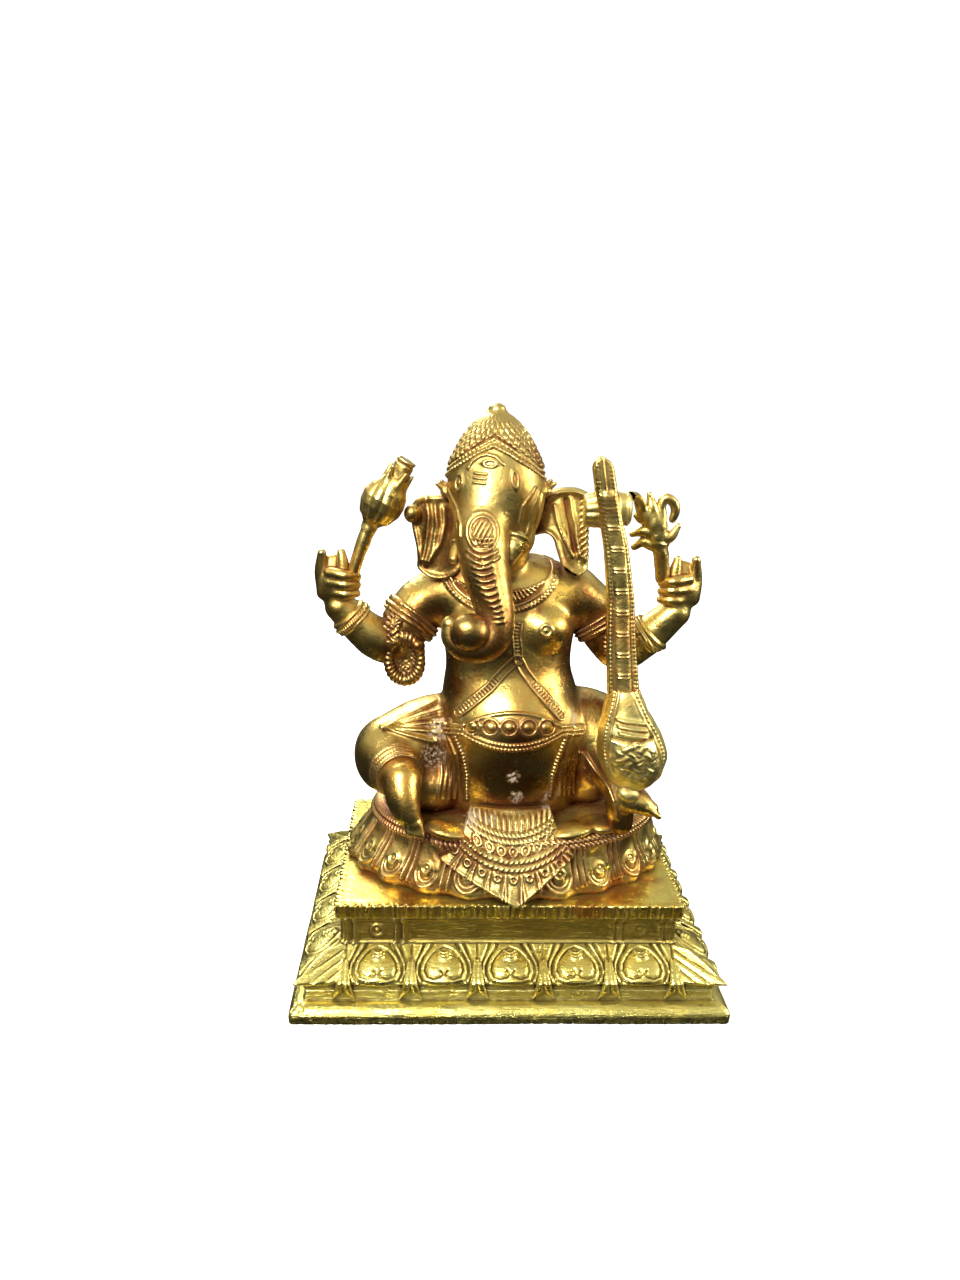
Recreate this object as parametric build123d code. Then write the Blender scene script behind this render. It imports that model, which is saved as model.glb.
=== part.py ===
from build123d import *

import os

# Cast brass idol of an elephant-headed seated figure with a lute, on a stepped rectangular pedestal.
#
# Units are millimetres. The origin is the centre of the pedestal's underside, +Z is up and the figure
# faces -Y. "Right" and "left" are the figure's own, so its right arm is on the -X side.
# Ornaments are thin solids that lie on the casting beneath them. Where two pieces meet, the one that
# is fitted later is cut to the one before it, and pegs key the larger joins, so that the pieces touch
# and don't overlap.

# ---------------------------------------------------------------- driving dimensions
BASE_W, BASE_D = 113.0, 90.0          # plinth, side to side and front to back
TOTAL_H = 152.4                       # underside to the tip of the crown: a six inch idol

PLINTH_H = 7.4
PLINTH_FOOT = 1.9                     # upright foot of the plinth edge, below its rounded nose
NOSE_H = 4.6                          # underside to the top of the nose, where a recessed band begins
BAND_INSET = 3.9                      # plinth edge to the recessed band
MOULDING_H = 8.4
STEP_H = 2.0                          # plain step under the petals
DADO_H = 7.6
CAP_H = 4.0
MOULDING_INSET = 2.9                  # plinth edge to the lip of the petal moulding
DADO_INSET = 12.4                     # plinth edge to the upright band
CAP_INSET = 11.0                      # plinth edge to the cap slab
WALL = 3.0                            # pedestal castings are hollow, open underneath
PETAL_PITCH = 17.0                    # petals of the moulding, centre to centre

SEAT_H = 17.0
SEAT_FOOT = (44.6, 32.6)              # half axes of the petal skirt, just above the cap slab
SEAT_TOP = (36.5, 27.5)               # half axes of the cushion on which the figure sits
SEAT_SHIFT = 2.5                      # the cushion lies a little to the figure's left
SKIRT_PETALS = 18

TENON_R = 6.0                         # peg under the seat, through the cap slab
TENON_DROP = 8.0
PIN_R = 1.5                           # cross pin that locks the tenon under the cap slab
PIN_LENGTH = 26.0

ORNAMENT = 0.9                        # how far bands and cords stand off the metal below
PEG_R = 2.2                           # pegs that key the limbs, the head and the crown
SMALL_PEG_R = 0.8                     # pegs that key the ears, the tusks and the held objects

# ---------------------------------------------------------------- heights that follow
Z_DADO = PLINTH_H + MOULDING_H
Z_CAP = Z_DADO + DADO_H
Z_SEAT = Z_CAP + CAP_H
Z_LAP = Z_SEAT + SEAT_H
Z_BELT = Z_LAP + 27.5
Z_WAIST = Z_LAP + 39.0
Z_CHEST = Z_LAP + 51.5
Z_SHOULDER = Z_LAP + 59.5
Z_NECK = Z_LAP + 66.0
Z_HEAD = Z_LAP + 79.0
Z_BROW = Z_LAP + 90.0

HEAD_X = -5.0                         # the head leans a little to the figure's right
HEAD_Y = -4.0


# ---------------------------------------------------------------- shape helpers
def stack(sections, grow=0.0):
    """A smooth body through ovals, each (x, y, z, half width, half depth), made larger by grow."""
    return loft([Pos(x, y, z) * Ellipse(a + grow, b + grow) for x, y, z, a, b in sections])


def block(width, depth, low, high, radius=0.0):
    """An upright box between two heights, with rounded corners if radius is given."""
    shape = RectangleRounded(width, depth, radius) if radius else Rectangle(width, depth)
    return extrude(Pos(0, 0, low) * shape, high - low)


def egg(centre, half_axes, turn=(0, 0, 0)):
    """An ellipsoid at centre, turned about X, Y and Z."""
    return Pos(*centre) * Rot(*turn) * scale(Sphere(1), by=half_axes)


def taper(start, start_r, end, end_r):
    """A round bar from start to end whose radius goes from start_r to end_r, with flat ends."""
    a, b = Vector(*start), Vector(*end)
    near, far = Plane(origin=a, z_dir=b - a), Plane(origin=b, z_dir=b - a)
    return loft([near * Circle(start_r), far * Circle(end_r)])


def limb(points):
    """A chain of tapered bars with a ball at each point. points holds (x, y, z, radius)."""
    shape = Pos(*points[0][:3]) * Sphere(points[0][3])
    for start, end in zip(points, points[1:]):
        shape = shape + taper(start[:3], start[3], end[:3], end[3])
        shape = shape + Pos(*end[:3]) * Sphere(end[3])
    return shape


def turned(outline):
    """A body of revolution about Z. outline holds (radius, height), from the bottom up."""
    bottom, top = outline[0][1], outline[-1][1]
    profile = make_face(Polyline((0, bottom), *outline, (0, top), close=True))
    return revolve(Plane.XZ * profile, Axis.Z)


def along(start, end):
    """A plane at start with its Z towards end and its X across, level with the ground."""
    a, b = Vector(*start), Vector(*end)
    direction = (b - a).normalized()
    across = Vector(1, 0, 0) - direction * direction.X
    return Plane(origin=a, x_dir=across, z_dir=direction)


def cut(shape, *others):
    """shape with each of the others taken away."""
    for other in others:
        shape = shape - other
    return shape


def main_solids(shape):
    """The solids of a shape, without slivers left by a cut."""
    solids = sorted(shape.solids(), key=lambda s: -s.volume)
    return [s for s in solids if s.volume > 0.04 * solids[0].volume]


def tidy(shape):
    """The shape as one solid, or a compound of its main solids."""
    kept = main_solids(shape)
    return kept[0] if len(kept) == 1 else Compound(children=kept)


# ---------------------------------------------------------------- pedestal
def plinth_slab():
    """Bottom slab with a rounded nose all round and a recessed band above it, open in the middle."""
    shape = block(BASE_W, BASE_D, 0, NOSE_H, 3.0)
    shape = fillet(shape.faces().sort_by(Axis.Z)[-1].edges(), (NOSE_H - PLINTH_FOOT) * 0.95)
    shape = shape + block(BASE_W - 2 * BAND_INSET, BASE_D - 2 * BAND_INSET, NOSE_H, PLINTH_H, 1.0)
    gap = 2 * (DADO_INSET + WALL)
    return shape - block(BASE_W - gap, BASE_D - gap, -1, PLINTH_H + 1, 3.0)


def slope_petals(width, depth):
    """Long raised petals that lie on the slope of the moulding, all round."""
    rise, run = MOULDING_H - STEP_H, DADO_INSET - MOULDING_INSET
    tilt = 33.0
    mid_z = PLINTH_H + STEP_H + rise * 0.42
    half_axes = (6.6, 5.4, 1.3)
    petals = None
    for side in (-1, 1):
        for i in range(-2, 3):
            spot = (i * PETAL_PITCH, side * (depth / 2 - run * 0.46), mid_z)
            petal = egg(spot, half_axes, (-side * tilt, 0, 0))
            petals = petal if petals is None else petals + petal
        for i in (-1.5, -0.5, 0.5, 1.5):
            spot = (side * (width / 2 - run * 0.46), i * PETAL_PITCH, mid_z)
            petals = petals + egg(spot, (half_axes[1], half_axes[0], half_axes[2]), (0, side * tilt, 0))
    return petals


def lotus_moulding():
    """Sloping course under the dado: a plain step, then a petal-carved ogee slope."""
    lip, base = MOULDING_INSET, PLINTH_H + STEP_H
    foot = block(BASE_W - 2 * lip - 4.0, BASE_D - 2 * lip - 4.0, PLINTH_H, base, 2.0)
    width, depth = BASE_W - 2 * lip, BASE_D - 2 * lip
    rise = MOULDING_H - STEP_H
    levels = ((0.0, 0.0), (0.22, 0.08), (0.62, 0.52), (1.0, 1.0))   # shares of the rise and of the inset
    shape = foot
    for (h0, s0), (h1, s1) in zip(levels, levels[1:]):
        ends = []
        for h, s in ((h0, s0), (h1, s1)):
            inset = 2 * s * (DADO_INSET - lip)
            ends.append(Pos(0, 0, base + h * rise) * Rectangle(width - inset, depth - inset))
        shape = shape + loft(ends)
    shape = shape + slope_petals(width, depth) & block(width, depth, PLINTH_H, Z_DADO)
    gap = 2 * (DADO_INSET + WALL)
    return shape - block(BASE_W - gap, BASE_D - gap, PLINTH_H - 1, Z_DADO + 1, 3.0)


def dado_block():
    """Upright band with paired pilasters and a rosette near each corner of the front and back."""
    width, depth = BASE_W - 2 * DADO_INSET, BASE_D - 2 * DADO_INSET
    shape = block(width, depth, Z_DADO, Z_CAP)
    pilaster_w, proud = 1.3, 0.6
    mid = Z_DADO + DADO_H / 2
    for side in (-1, 1):
        for face in (-1, 1):
            y = face * depth / 2
            for inset in (2.0, 4.4, 15.0, 17.4):
                x = side * (width / 2 - inset)
                shape = shape + Pos(x, y, mid) * Box(pilaster_w, 2 * proud, DADO_H)
            rosette = Plane(origin=(side * (width / 2 - 9.8), y, mid), z_dir=(0, face, 0))
            shape = shape + extrude(rosette * Circle(2.1), proud)
    return shape - block(width - 2 * WALL, depth - 2 * WALL, Z_DADO - 1, Z_CAP + 1, 3.0)


def cap_slab():
    """Top slab with a fluted edge, and the mortise for the seat's tenon."""
    width, depth = BASE_W - 2 * CAP_INSET, BASE_D - 2 * CAP_INSET
    shape = block(width, depth, Z_CAP, Z_SEAT)
    pitch, flute_r = 4.5, 0.8
    mid = Z_CAP + CAP_H / 2
    flutes = []
    for side in (-1, 1):
        count = round(width / pitch)
        for i in range(count):
            x = (i + 0.5) * width / count - width / 2
            flutes.append(Pos(x, side * (depth / 2 + flute_r * 0.4), mid) * Cylinder(flute_r, CAP_H + 2))
        count = round(depth / pitch)
        for i in range(count):
            y = (i + 0.5) * depth / count - depth / 2
            flutes.append(Pos(side * (width / 2 + flute_r * 0.4), y, mid) * Cylinder(flute_r, CAP_H + 2))
    return cut(shape, *flutes, Pos(0, 0, mid) * Cylinder(TENON_R, CAP_H + 2))


def retaining_pin():
    """Round pin through the tenon, tight against the underside of the cap slab."""
    return Pos(0, 0, Z_CAP - PIN_R) * Rot(0, 90, 0) * Cylinder(PIN_R, PIN_LENGTH)


# ---------------------------------------------------------------- seat
SEAT_SECTIONS = [
    (0, 0, Z_SEAT, SEAT_FOOT[0] - 1.6, SEAT_FOOT[1] - 1.6),
    (0, 0, Z_SEAT + 2.5, *SEAT_FOOT),
    (SEAT_SHIFT / 2, 0, Z_SEAT + 9.0, SEAT_FOOT[0] - 4.0, SEAT_FOOT[1] - 2.2),
    (SEAT_SHIFT, 0, Z_SEAT + 14.5, SEAT_TOP[0] + 1.0, SEAT_TOP[1] + 1.0),
    (SEAT_SHIFT, 0, Z_LAP, SEAT_TOP[0] - 1.0, SEAT_TOP[1] - 1.0),
]


def skirt_petals():
    """Round-ended petals that hang all round the skirt of the seat."""
    petals = []
    for i in range(SKIRT_PETALS):
        turn = 360.0 * (i + 0.5) / SKIRT_PETALS
        edge = Vector(SEAT_FOOT[0] - 3.4, 0, 0).rotate(Axis.Z, turn)
        y = edge.Y * (SEAT_FOOT[1] - 2.6) / (SEAT_FOOT[0] - 3.4)
        spot = (edge.X + SEAT_SHIFT / 3, y, Z_SEAT + 7.4)
        outward = Vector(edge.X * SEAT_FOOT[1] / SEAT_FOOT[0], y * SEAT_FOOT[0] / SEAT_FOOT[1], 0)
        heading = Vector(1, 0, 0).get_signed_angle(outward, Vector(0, 0, 1))
        petals.append(Pos(*spot) * Rot(0, 0, heading) * Rot(0, -28, 0) * scale(Sphere(1), by=(1.6, 4.9, 7.2)))
    return petals


def lotus_seat():
    """Oval seat with a flaring skirt of petals, and the tenon beneath it."""
    tenon = Pos(0, 0, Z_SEAT - (CAP_H + TENON_DROP) / 2) * Cylinder(TENON_R, CAP_H + TENON_DROP)
    shape = stack(SEAT_SECTIONS)
    for petal in skirt_petals():
        shape = shape + petal
    shape = shape & block(2 * SEAT_FOOT[0] + 0.8, 2 * SEAT_FOOT[1] + 0.8, Z_SEAT, Z_LAP)
    return shape + tenon


def seat_cord():
    """Cord that runs round the seat under the cushion."""
    low = Z_SEAT + 13.6
    return stack(SEAT_SECTIONS, 1.6 * ORNAMENT) & block(120, 90, low, low + 2.0)


def seat_apron():
    """Hanging cloth panel over the front of the seat, ending in a point."""
    outline = Polyline((-10.5, 20.6), (10.5, 20.6), (17.5, 11.5), (1.0, 1.0), (-17.5, 11.5), close=True)
    front = Plane(origin=(0, -60, Z_SEAT), x_dir=(1, 0, 0), z_dir=(0, -1, 0))
    panel = extrude(front * make_face(outline), -45)
    tall = SEAT_SECTIONS[:-1] + [(SEAT_SHIFT, 0, Z_LAP + 5, SEAT_TOP[0] - 2.0, SEAT_TOP[1] - 2.0)]
    return stack(tall, 2.2 * ORNAMENT) & panel


# ---------------------------------------------------------------- figure
TORSO_SECTIONS = [
    (0.5, -2.0, Z_LAP, 18.5, 17.0),
    (0.5, -3.0, Z_LAP + 7.0, 20.0, 18.8),
    (1.0, -3.5, Z_LAP + 17.0, 21.4, 19.0),
    (1.0, -3.5, Z_BELT, 19.8, 18.4),
    (-0.5, -2.0, Z_WAIST, 16.7, 14.4),
    (-0.5, -1.5, Z_CHEST, 18.2, 13.4),
    (-0.8, -0.2, Z_SHOULDER, 18.8, 11.6),
    (-1.4, 0.2, Z_NECK - 2.0, 16.4, 9.6),
    (-2.2, 0.4, Z_NECK + 1.6, 11.0, 7.6),
]

RIGHT_LEG = [(-12.0, 1.0, Z_LAP + 12.0, 12.2), (-21.0, -2.5, Z_LAP + 17.0, 12.0), (-31.5, -7.0, Z_LAP + 14.6, 10.3),
             (-28.2, -21.5, Z_LAP + 12.6, 5.0), (-26.6, -26.5, Z_LAP + 6.4, 3.6)]
LEFT_LEG = [(13.0, 1.0, Z_LAP + 12.0, 12.4), (22.5, -2.0, Z_LAP + 18.0, 12.3), (30.0, -7.0, Z_LAP + 15.0, 10.2),
            (30.0, -21.5, Z_LAP + 10.4, 5.0), (35.0, -25.8, Z_LAP + 7.8, 3.2)]
RIGHT_ARM = [(-18.8, 1.0, Z_SHOULDER - 4.6, 7.0), (-30.8, -2.4, Z_SHOULDER - 15.0, 6.4),
             (-45.0, -5.2, Z_SHOULDER - 4.4, 4.1)]
LEFT_ARM = [(18.6, 1.0, Z_SHOULDER - 5.0, 6.9), (30.0, -1.4, Z_SHOULDER - 17.4, 6.2),
            (43.4, -5.2, Z_SHOULDER - 5.2, 4.0)]
KNEE, ANKLE = 2, 3                    # places in the lists of the legs

HEAD_SECTIONS = [
    (HEAD_X, -4.0, Z_NECK - 2.0, 6.8, 7.0),
    (HEAD_X, -5.5, Z_NECK + 5.0, 11.0, 10.0),
    (HEAD_X, -4.5, Z_HEAD, 12.5, 12.2),
    (HEAD_X, HEAD_Y, Z_BROW, 12.3, 12.2),
    (HEAD_X, HEAD_Y, Z_BROW + 6.0, 10.0, 10.0),
]
TRUNK = [(-8.0, -15.0, Z_HEAD, 6.6), (-8.0, -19.0, Z_HEAD - 8.0, 5.8), (-6.6, -22.4, Z_HEAD - 15.0, 5.0),
         (-5.1, -24.4, Z_HEAD - 21.6, 4.4), (-5.8, -26.0, Z_HEAD - 26.6, 4.1), (-9.0, -26.6, Z_HEAD - 29.0, 3.7),
         (-12.8, -26.6, Z_HEAD - 29.0, 3.3), (-15.8, -26.4, Z_HEAD - 26.6, 2.8), (-16.4, -26.2, Z_HEAD - 23.2, 2.2)]
SWEET_BALL = (-11.6, -29.0, Z_HEAD - 24.4)
SWEET_R = 4.7

CROWN_OUTLINE = [(12.8, 0.0), (12.9, 1.6), (12.4, 4.3), (11.4, 7.0), (9.9, 9.8), (8.2, 12.5), (6.1, 15.2), (3.9, 17.4),
                 (2.9, 18.2), (2.4, 19.4), (1.2, 20.4)]


def torso():
    """Belly, chest and shoulders in one casting, seated on the cushion."""
    shape = stack(TORSO_SECTIONS)
    for side in (-1, 1):
        shape = shape + egg((side * 8.6 - 0.5, -9.5, Z_CHEST - 1.5), (7.6, 6.4, 6.6))
    return shape


def head_and_trunk():
    """Elephant head with its trunk curling to the figure's right."""
    cheeks = egg((-12.2, -11.0, Z_HEAD - 5.5), (4.4, 4.8, 5.6)) + egg((2.2, -11.0, Z_HEAD - 5.0), (4.6, 4.8, 6.0))
    return stack(HEAD_SECTIONS) + cheeks + limb(TRUNK)


def crown():
    """Netted cap that rises to a small knob."""
    base = TOTAL_H - CROWN_OUTLINE[-1][1]
    return Pos(HEAD_X, HEAD_Y, base) * turned(CROWN_OUTLINE)


def ear(side):
    """Upright fan ear, rounded at the top and pointed at the shoulder. side is -1 or 1."""
    reach = 16.4 if side < 0 else 19.6
    outline = Spline((side * -5.0, -5), (side * -5.0, 7), (side * 1.0, 10.5), (side * 6.4, 5.0),
                     (side * 4.5, -6), (side * -1.0, -11.5), periodic=True)
    plane = Plane(origin=(HEAD_X + side * reach, -4.0, Z_HEAD - 4.0), x_dir=(1, 0, 0), z_dir=(0, -1, 0))
    shape = extrude(plane * make_face(outline), -3.6)
    return shape


def tusk(start, start_r, end, end_r):
    """A short blunt tusk."""
    return taper(start, start_r, end, end_r) + Pos(*end) * Sphere(end_r)


def hand(wrist, side):
    """Cupped hand with four fingers and a thumb. side is -1 for the right hand, 1 for the left."""
    x, y, z = wrist
    shape = egg((x + side * 1.0, y - 0.3, z + 5.0), (4.4, 3.0, 5.4), (0, side * 8, 0))
    for i in range(4):
        root = (x + side * 3.6, y - 2.4 + 1.6 * i, z + 7.0)
        knuckle = (x + side * 4.6, y - 2.6 + 1.6 * i, z + 10.0 + 0.4 * i)
        tip = (x + side * (1.6 + 0.5 * i), y - 3.0 + 1.6 * i, z + 11.6 + 0.4 * i)
        shape = shape + limb([(*root, 1.25), (*knuckle, 1.15), (*tip, 0.95)])
    thumb = limb([(x - side * 2.4, y - 2.0, z + 4.0, 1.5), (x - side * 2.2, y - 2.8, z + 9.0, 1.2)])
    return shape + thumb


def arm(points, side):
    """Upper arm, bent elbow, forearm and hand."""
    return limb(points) + hand(points[-1][:3], side)


BUD_FOOT = (-42.6, -6.6, Z_SHOULDER + 6.0)
BUD_BEND = (-38.8, -5.4, Z_SHOULDER + 15.0)
BUD_TIP = (-27.0, -5.0, Z_SHOULDER + 33.0)
BUD_OUTLINE = [(1.6, 0.0), (2.2, 1.5), (4.2, 5.0), (4.9, 8.6), (4.1, 12.4), (2.7, 15.4), (2.4, 16.4), (2.4, 20.0)]


def lotus_bud():
    """Bud with a cut stalk at its tip, on a bent stem held in the figure's right hand."""
    stem = limb([(*BUD_FOOT, 1.6), (*BUD_BEND, 1.8)])
    return stem + along(BUD_BEND, BUD_TIP) * turned(BUD_OUTLINE)


GOAD_FOOT = (42.2, -6.8, Z_SHOULDER + 6.0)
GOAD_ROOT = (38.2, -7.0, Z_SHOULDER + 16.0)


def goad():
    """Leafed goad in the figure's left hand: a stem, a fan of blades and a ring."""
    blade_r = 1.1
    z = Z_SHOULDER
    shape = limb([(*GOAD_FOOT, 1.6), (*GOAD_ROOT, 1.9)])
    tips = ((31.0, -9.0, z + 17.5), (31.6, -9.0, z + 24.6), (35.6, -8.2, z + 26.6), (40.6, -7.6, z + 25.0))
    for tip in tips:
        shape = shape + limb([(*GOAD_ROOT, blade_r * 1.4), (*tip, blade_r)])
    return shape + Pos(38.6, -7.6, z + 23.0) * Rot(90, 0, 0) * Torus(2.8, 0.9)


VEENA_FOOT = (30.6, -26.5, Z_LAP + 12.8)
VEENA_TOP = (20.4, -19.5, Z_LAP + 96.4)
BOWL_OUTLINE = [(2.8, 0.0), (5.4, 1.4), (7.6, 4.2), (8.8, 8.0), (8.9, 11.0), (8.2, 15.0), (6.2, 20.6), (4.4, 25.2),
                (4.1, 27.0)]
NECK_START = 27.0                     # distance along the lute from its foot to where the neck begins
NECK_WIDTH, NECK_DEPTH = 7.2, 4.2
HEAD_WIDTH = 5.2                      # the neck narrows above the upper gourd
GOURD_BELOW_TOP = 14.0


def veena_length():
    """Overall length of the lute."""
    return (Vector(*VEENA_TOP) - Vector(*VEENA_FOOT)).length


def veena_bowl():
    """Pear-shaped resonator at the foot of the lute, with its bridge."""
    bridge = Pos(0, -8.0, 14.6) * Box(6.4, 3.0, 1.0) + Pos(0, -7.6, 16.8) * Box(6.4, 3.0, 1.0)
    return along(VEENA_FOOT, VEENA_TOP) * (turned(BOWL_OUTLINE) + bridge)


def veena_neck():
    """Flat-faced neck with frets, ending in a rounded head."""
    full = veena_length()
    waist = full - GOURD_BELOW_TOP
    bar = Pos(0, 0, (NECK_START + waist) / 2) * Box(NECK_WIDTH, NECK_DEPTH, waist - NECK_START)
    head_end = full - HEAD_WIDTH / 2
    head = Pos(0, 0, (waist + head_end) / 2) * Box(HEAD_WIDTH, NECK_DEPTH, head_end - waist)
    tip = Pos(0, 0, head_end) * Rot(90, 0, 0) * Cylinder(HEAD_WIDTH / 2, NECK_DEPTH)
    shape = bar + head + tip
    for i in range(9):
        shape = shape + Pos(0, -NECK_DEPTH / 2, NECK_START + 5 + 5.0 * i) * Box(4.6, 1.0, 0.8)
    return along(VEENA_FOOT, VEENA_TOP) * shape


def veena_gourd():
    """Ribbed upper resonator behind the neck."""
    outline = [(2.0, -6.4), (3.6, -5.4), (4.0, -3.0), (3.5, -1.6), (4.0, 0.0), (3.5, 1.6), (4.0, 3.0), (3.6, 5.4),
               (2.0, 6.4)]
    level = veena_length() - GOURD_BELOW_TOP
    return along(VEENA_FOOT, VEENA_TOP) * (Pos(0, 1.6, level) * Rot(0, 90, 0) * turned(outline))


# ---------------------------------------------------------------- ornaments on the figure
def girdle():
    """Belt of round studs, with a cord along its lower edge."""
    front = Plane(origin=(0.3, 0, Z_BELT), x_dir=(1, 0, 0), z_dir=(0, -1, 0))
    band = Pos(0, 0, Z_BELT - 0.5) * Cylinder(40, 7.4)
    shape = stack(TORSO_SECTIONS, ORNAMENT) & band
    for i in range(-2, 3):
        stud = extrude(front * (Pos(i * 5.0, 0) * Circle(1.9)), 24.0 - abs(i) * 0.8)
        shape = shape + stud
    cord = stack(TORSO_SECTIONS, 1.8 * ORNAMENT) & (Pos(0, 0, Z_BELT - 5.2) * Cylinder(40, 2.0))
    return shape + cord


def collar_necklace():
    """Broad collar that dips over the chest."""
    dip = 28
    ring = Pos(-1.5, 0, Z_SHOULDER + 0.5) * Rot(dip, 0, 0) * (Cylinder(24, 4.4) - Cylinder(6, 6.0))
    skin = stack(TORSO_SECTIONS, ORNAMENT)
    for side in (-1, 1):
        skin = skin + egg((side * 8.6 - 0.5, -9.5, Z_CHEST - 1.5), (8.4, 7.2, 7.4))
    return skin & ring


def crossed_sash():
    """Flat band from the collar that parts under the chest and runs down to both hips."""
    bands = Pos(0, -20, Z_CHEST - 2.5) * Box(2.8, 36, 13)
    for side in (-1, 1):
        bands = bands + Pos(side * 7.0, -20, Z_WAIST - 1.5) * Rot(0, -side * 40, 0) * Box(2.8, 36, 22)
    return stack(TORSO_SECTIONS, ORNAMENT) & bands


def ring_round(start, end, share, radius, thick, width):
    """A band round a limb, at a share of the way from start to end."""
    a, b = Vector(*start[:3]), Vector(*end[:3])
    plane = Plane(origin=a + (b - a) * share, z_dir=b - a)
    return plane * (Cylinder(radius + thick, width) - Cylinder(radius - 1.5, width + 1))


def scarf_loop(elbow, side):
    """Loop of scarf that hangs at the crook of an elbow."""
    x, y, z = elbow[:3]
    return Pos(x - side * 1.5, y - 5.2, z - 1.0) * Rot(78, side * 14, 0) * Torus(5.4, 1.5)


# ---------------------------------------------------------------- assembly
def peg(start, end, radius=PEG_R):
    """A round peg between two points."""
    return taper(start, radius, end, radius)


PEGS = [
    # owner, parent, start inside the owner, end inside the parent, radius
    ("torso", "lotus_seat", (0, 0, Z_LAP + 2), (0, 0, Z_LAP - 6), PEG_R * 1.5),
    ("head_and_trunk", "torso", (-3.5, -1, Z_NECK + 4), (-3.0, 0, Z_NECK - 6), PEG_R),
    ("crown", "head_and_trunk", (HEAD_X, HEAD_Y, Z_BROW + 9), (HEAD_X, HEAD_Y, Z_BROW), PEG_R),
    ("right_arm", "torso", (-23, 0.5, Z_SHOULDER - 6), (-12, 1, Z_SHOULDER - 5), PEG_R),
    ("left_arm", "torso", (22, 0.5, Z_SHOULDER - 6), (12, 1, Z_SHOULDER - 5), PEG_R),
    ("right_leg", "torso", (-25, -3, Z_LAP + 15), (-13, 0, Z_LAP + 13), PEG_R),
    ("left_leg", "torso", (25, -3, Z_LAP + 15), (13, 0, Z_LAP + 13), PEG_R),
    ("right_ear", "head_and_trunk", (-20, -2.2, Z_HEAD - 2), (-13, -2.2, Z_HEAD - 2), SMALL_PEG_R),
    ("left_ear", "head_and_trunk", (12, -2.2, Z_HEAD - 2), (3, -2.2, Z_HEAD - 2), SMALL_PEG_R),
    ("lotus_bud", "right_arm", BUD_FOOT, (-44.2, -6.4, Z_SHOULDER + 1.0), SMALL_PEG_R),
    ("goad", "left_arm", GOAD_FOOT, (43.2, -6.4, Z_SHOULDER + 1.0), SMALL_PEG_R),
]


def key_together(pieces):
    """Adds each peg to its owner and takes its socket out of the parent."""
    for owner, parent, start, end, radius in PEGS:
        pin = peg(start, end, radius)
        pieces[owner] = pieces[owner] + pin
        pieces[parent] = pieces[parent] - pin


def figure_castings(seat):
    """The castings of the figure, each cut to the ones before it."""
    body = torso()
    made = {"torso": body}
    made["right_leg"] = cut(limb(RIGHT_LEG), body, seat)
    made["left_leg"] = cut(limb(LEFT_LEG), body, seat)
    made["right_arm"] = cut(arm(RIGHT_ARM, -1), body)
    made["left_arm"] = cut(arm(LEFT_ARM, 1), body)
    made["crown"] = crown()
    made["head_and_trunk"] = cut(head_and_trunk(), body, made["crown"])
    head = made["head_and_trunk"]
    made["right_ear"] = cut(ear(-1), head, body, made["crown"], made["right_arm"])
    made["left_ear"] = cut(ear(1), head, body, made["crown"], made["left_arm"])
    made["right_tusk"] = cut(tusk((-13.4, -13.0, Z_HEAD - 6.0), 2.4, (-16.0, -19.0, Z_HEAD - 8.6), 1.9), head)
    made["left_tusk"] = cut(tusk((1.4, -12.0, Z_HEAD - 6.0), 3.0, (-0.6, -19.0, Z_HEAD - 11.0), 2.2), head)
    made["sweet_ball"] = cut(Pos(*SWEET_BALL) * Sphere(SWEET_R), head, body)
    made["lotus_bud"] = cut(lotus_bud(), made["right_arm"])
    return made


def lute(made, seat):
    """The lute and the goad behind it, cut to the figure."""
    bowl = cut(veena_bowl(), made["torso"], made["left_leg"], seat)
    neck = cut(veena_neck(), bowl, made["left_arm"], made["torso"])
    gourd = cut(veena_gourd(), neck, made["left_ear"])
    made.update(veena_bowl=bowl, veena_neck=neck, veena_gourd=gourd)
    made["goad"] = cut(goad(), made["left_arm"], gourd, neck)


def ornaments(made, seat):
    """Bands, cords and loops that lie on the castings."""
    body = made["torso"]
    legs, arms = (made["right_leg"], made["left_leg"]), (made["right_arm"], made["left_arm"])
    heads = (made["head_and_trunk"], made["right_ear"], made["left_ear"], made["sweet_ball"])
    strings = (made["veena_bowl"], made["veena_neck"], made["veena_gourd"])
    made["seat_apron"] = cut(seat_apron(), seat, body, *legs)
    made["seat_cord"] = cut(seat_cord(), seat, made["seat_apron"], body, made["veena_bowl"], *legs)
    made["girdle"] = cut(girdle(), body, *legs, *strings)
    made["collar_necklace"] = cut(collar_necklace(), body, *heads, *arms, made["veena_neck"])
    made["crossed_sash"] = cut(crossed_sash(), body, made["girdle"], made["collar_necklace"], *heads)
    bands, cuffs, loops = [], [], []
    for side, points, piece in ((-1, RIGHT_ARM, arms[0]), (1, LEFT_ARM, arms[1])):
        loop = cut(scarf_loop(points[1], side), piece, body, *legs, *strings)
        band = ring_round(points[0], points[1], 0.62, 6.8, ORNAMENT, 3.0)
        bands += main_solids(cut(band, piece, loop, body, *heads, *strings))
        cuff = ring_round(points[1], points[2], 0.84, 4.5, ORNAMENT, 2.6)
        cuffs += main_solids(cut(cuff, piece, body, *strings))
        loops += main_solids(loop)
    made["armlets"] = Compound(children=bands)
    made["bracelets"] = Compound(children=cuffs)
    made["scarf_loops"] = Compound(children=loops)
    anklet = ring_round(RIGHT_LEG[KNEE], RIGHT_LEG[ANKLE], 0.90, 5.6, ORNAMENT, 2.8)
    made["right_anklet"] = cut(anklet, legs[0], seat, body, made["seat_apron"], made["seat_cord"])


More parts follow.
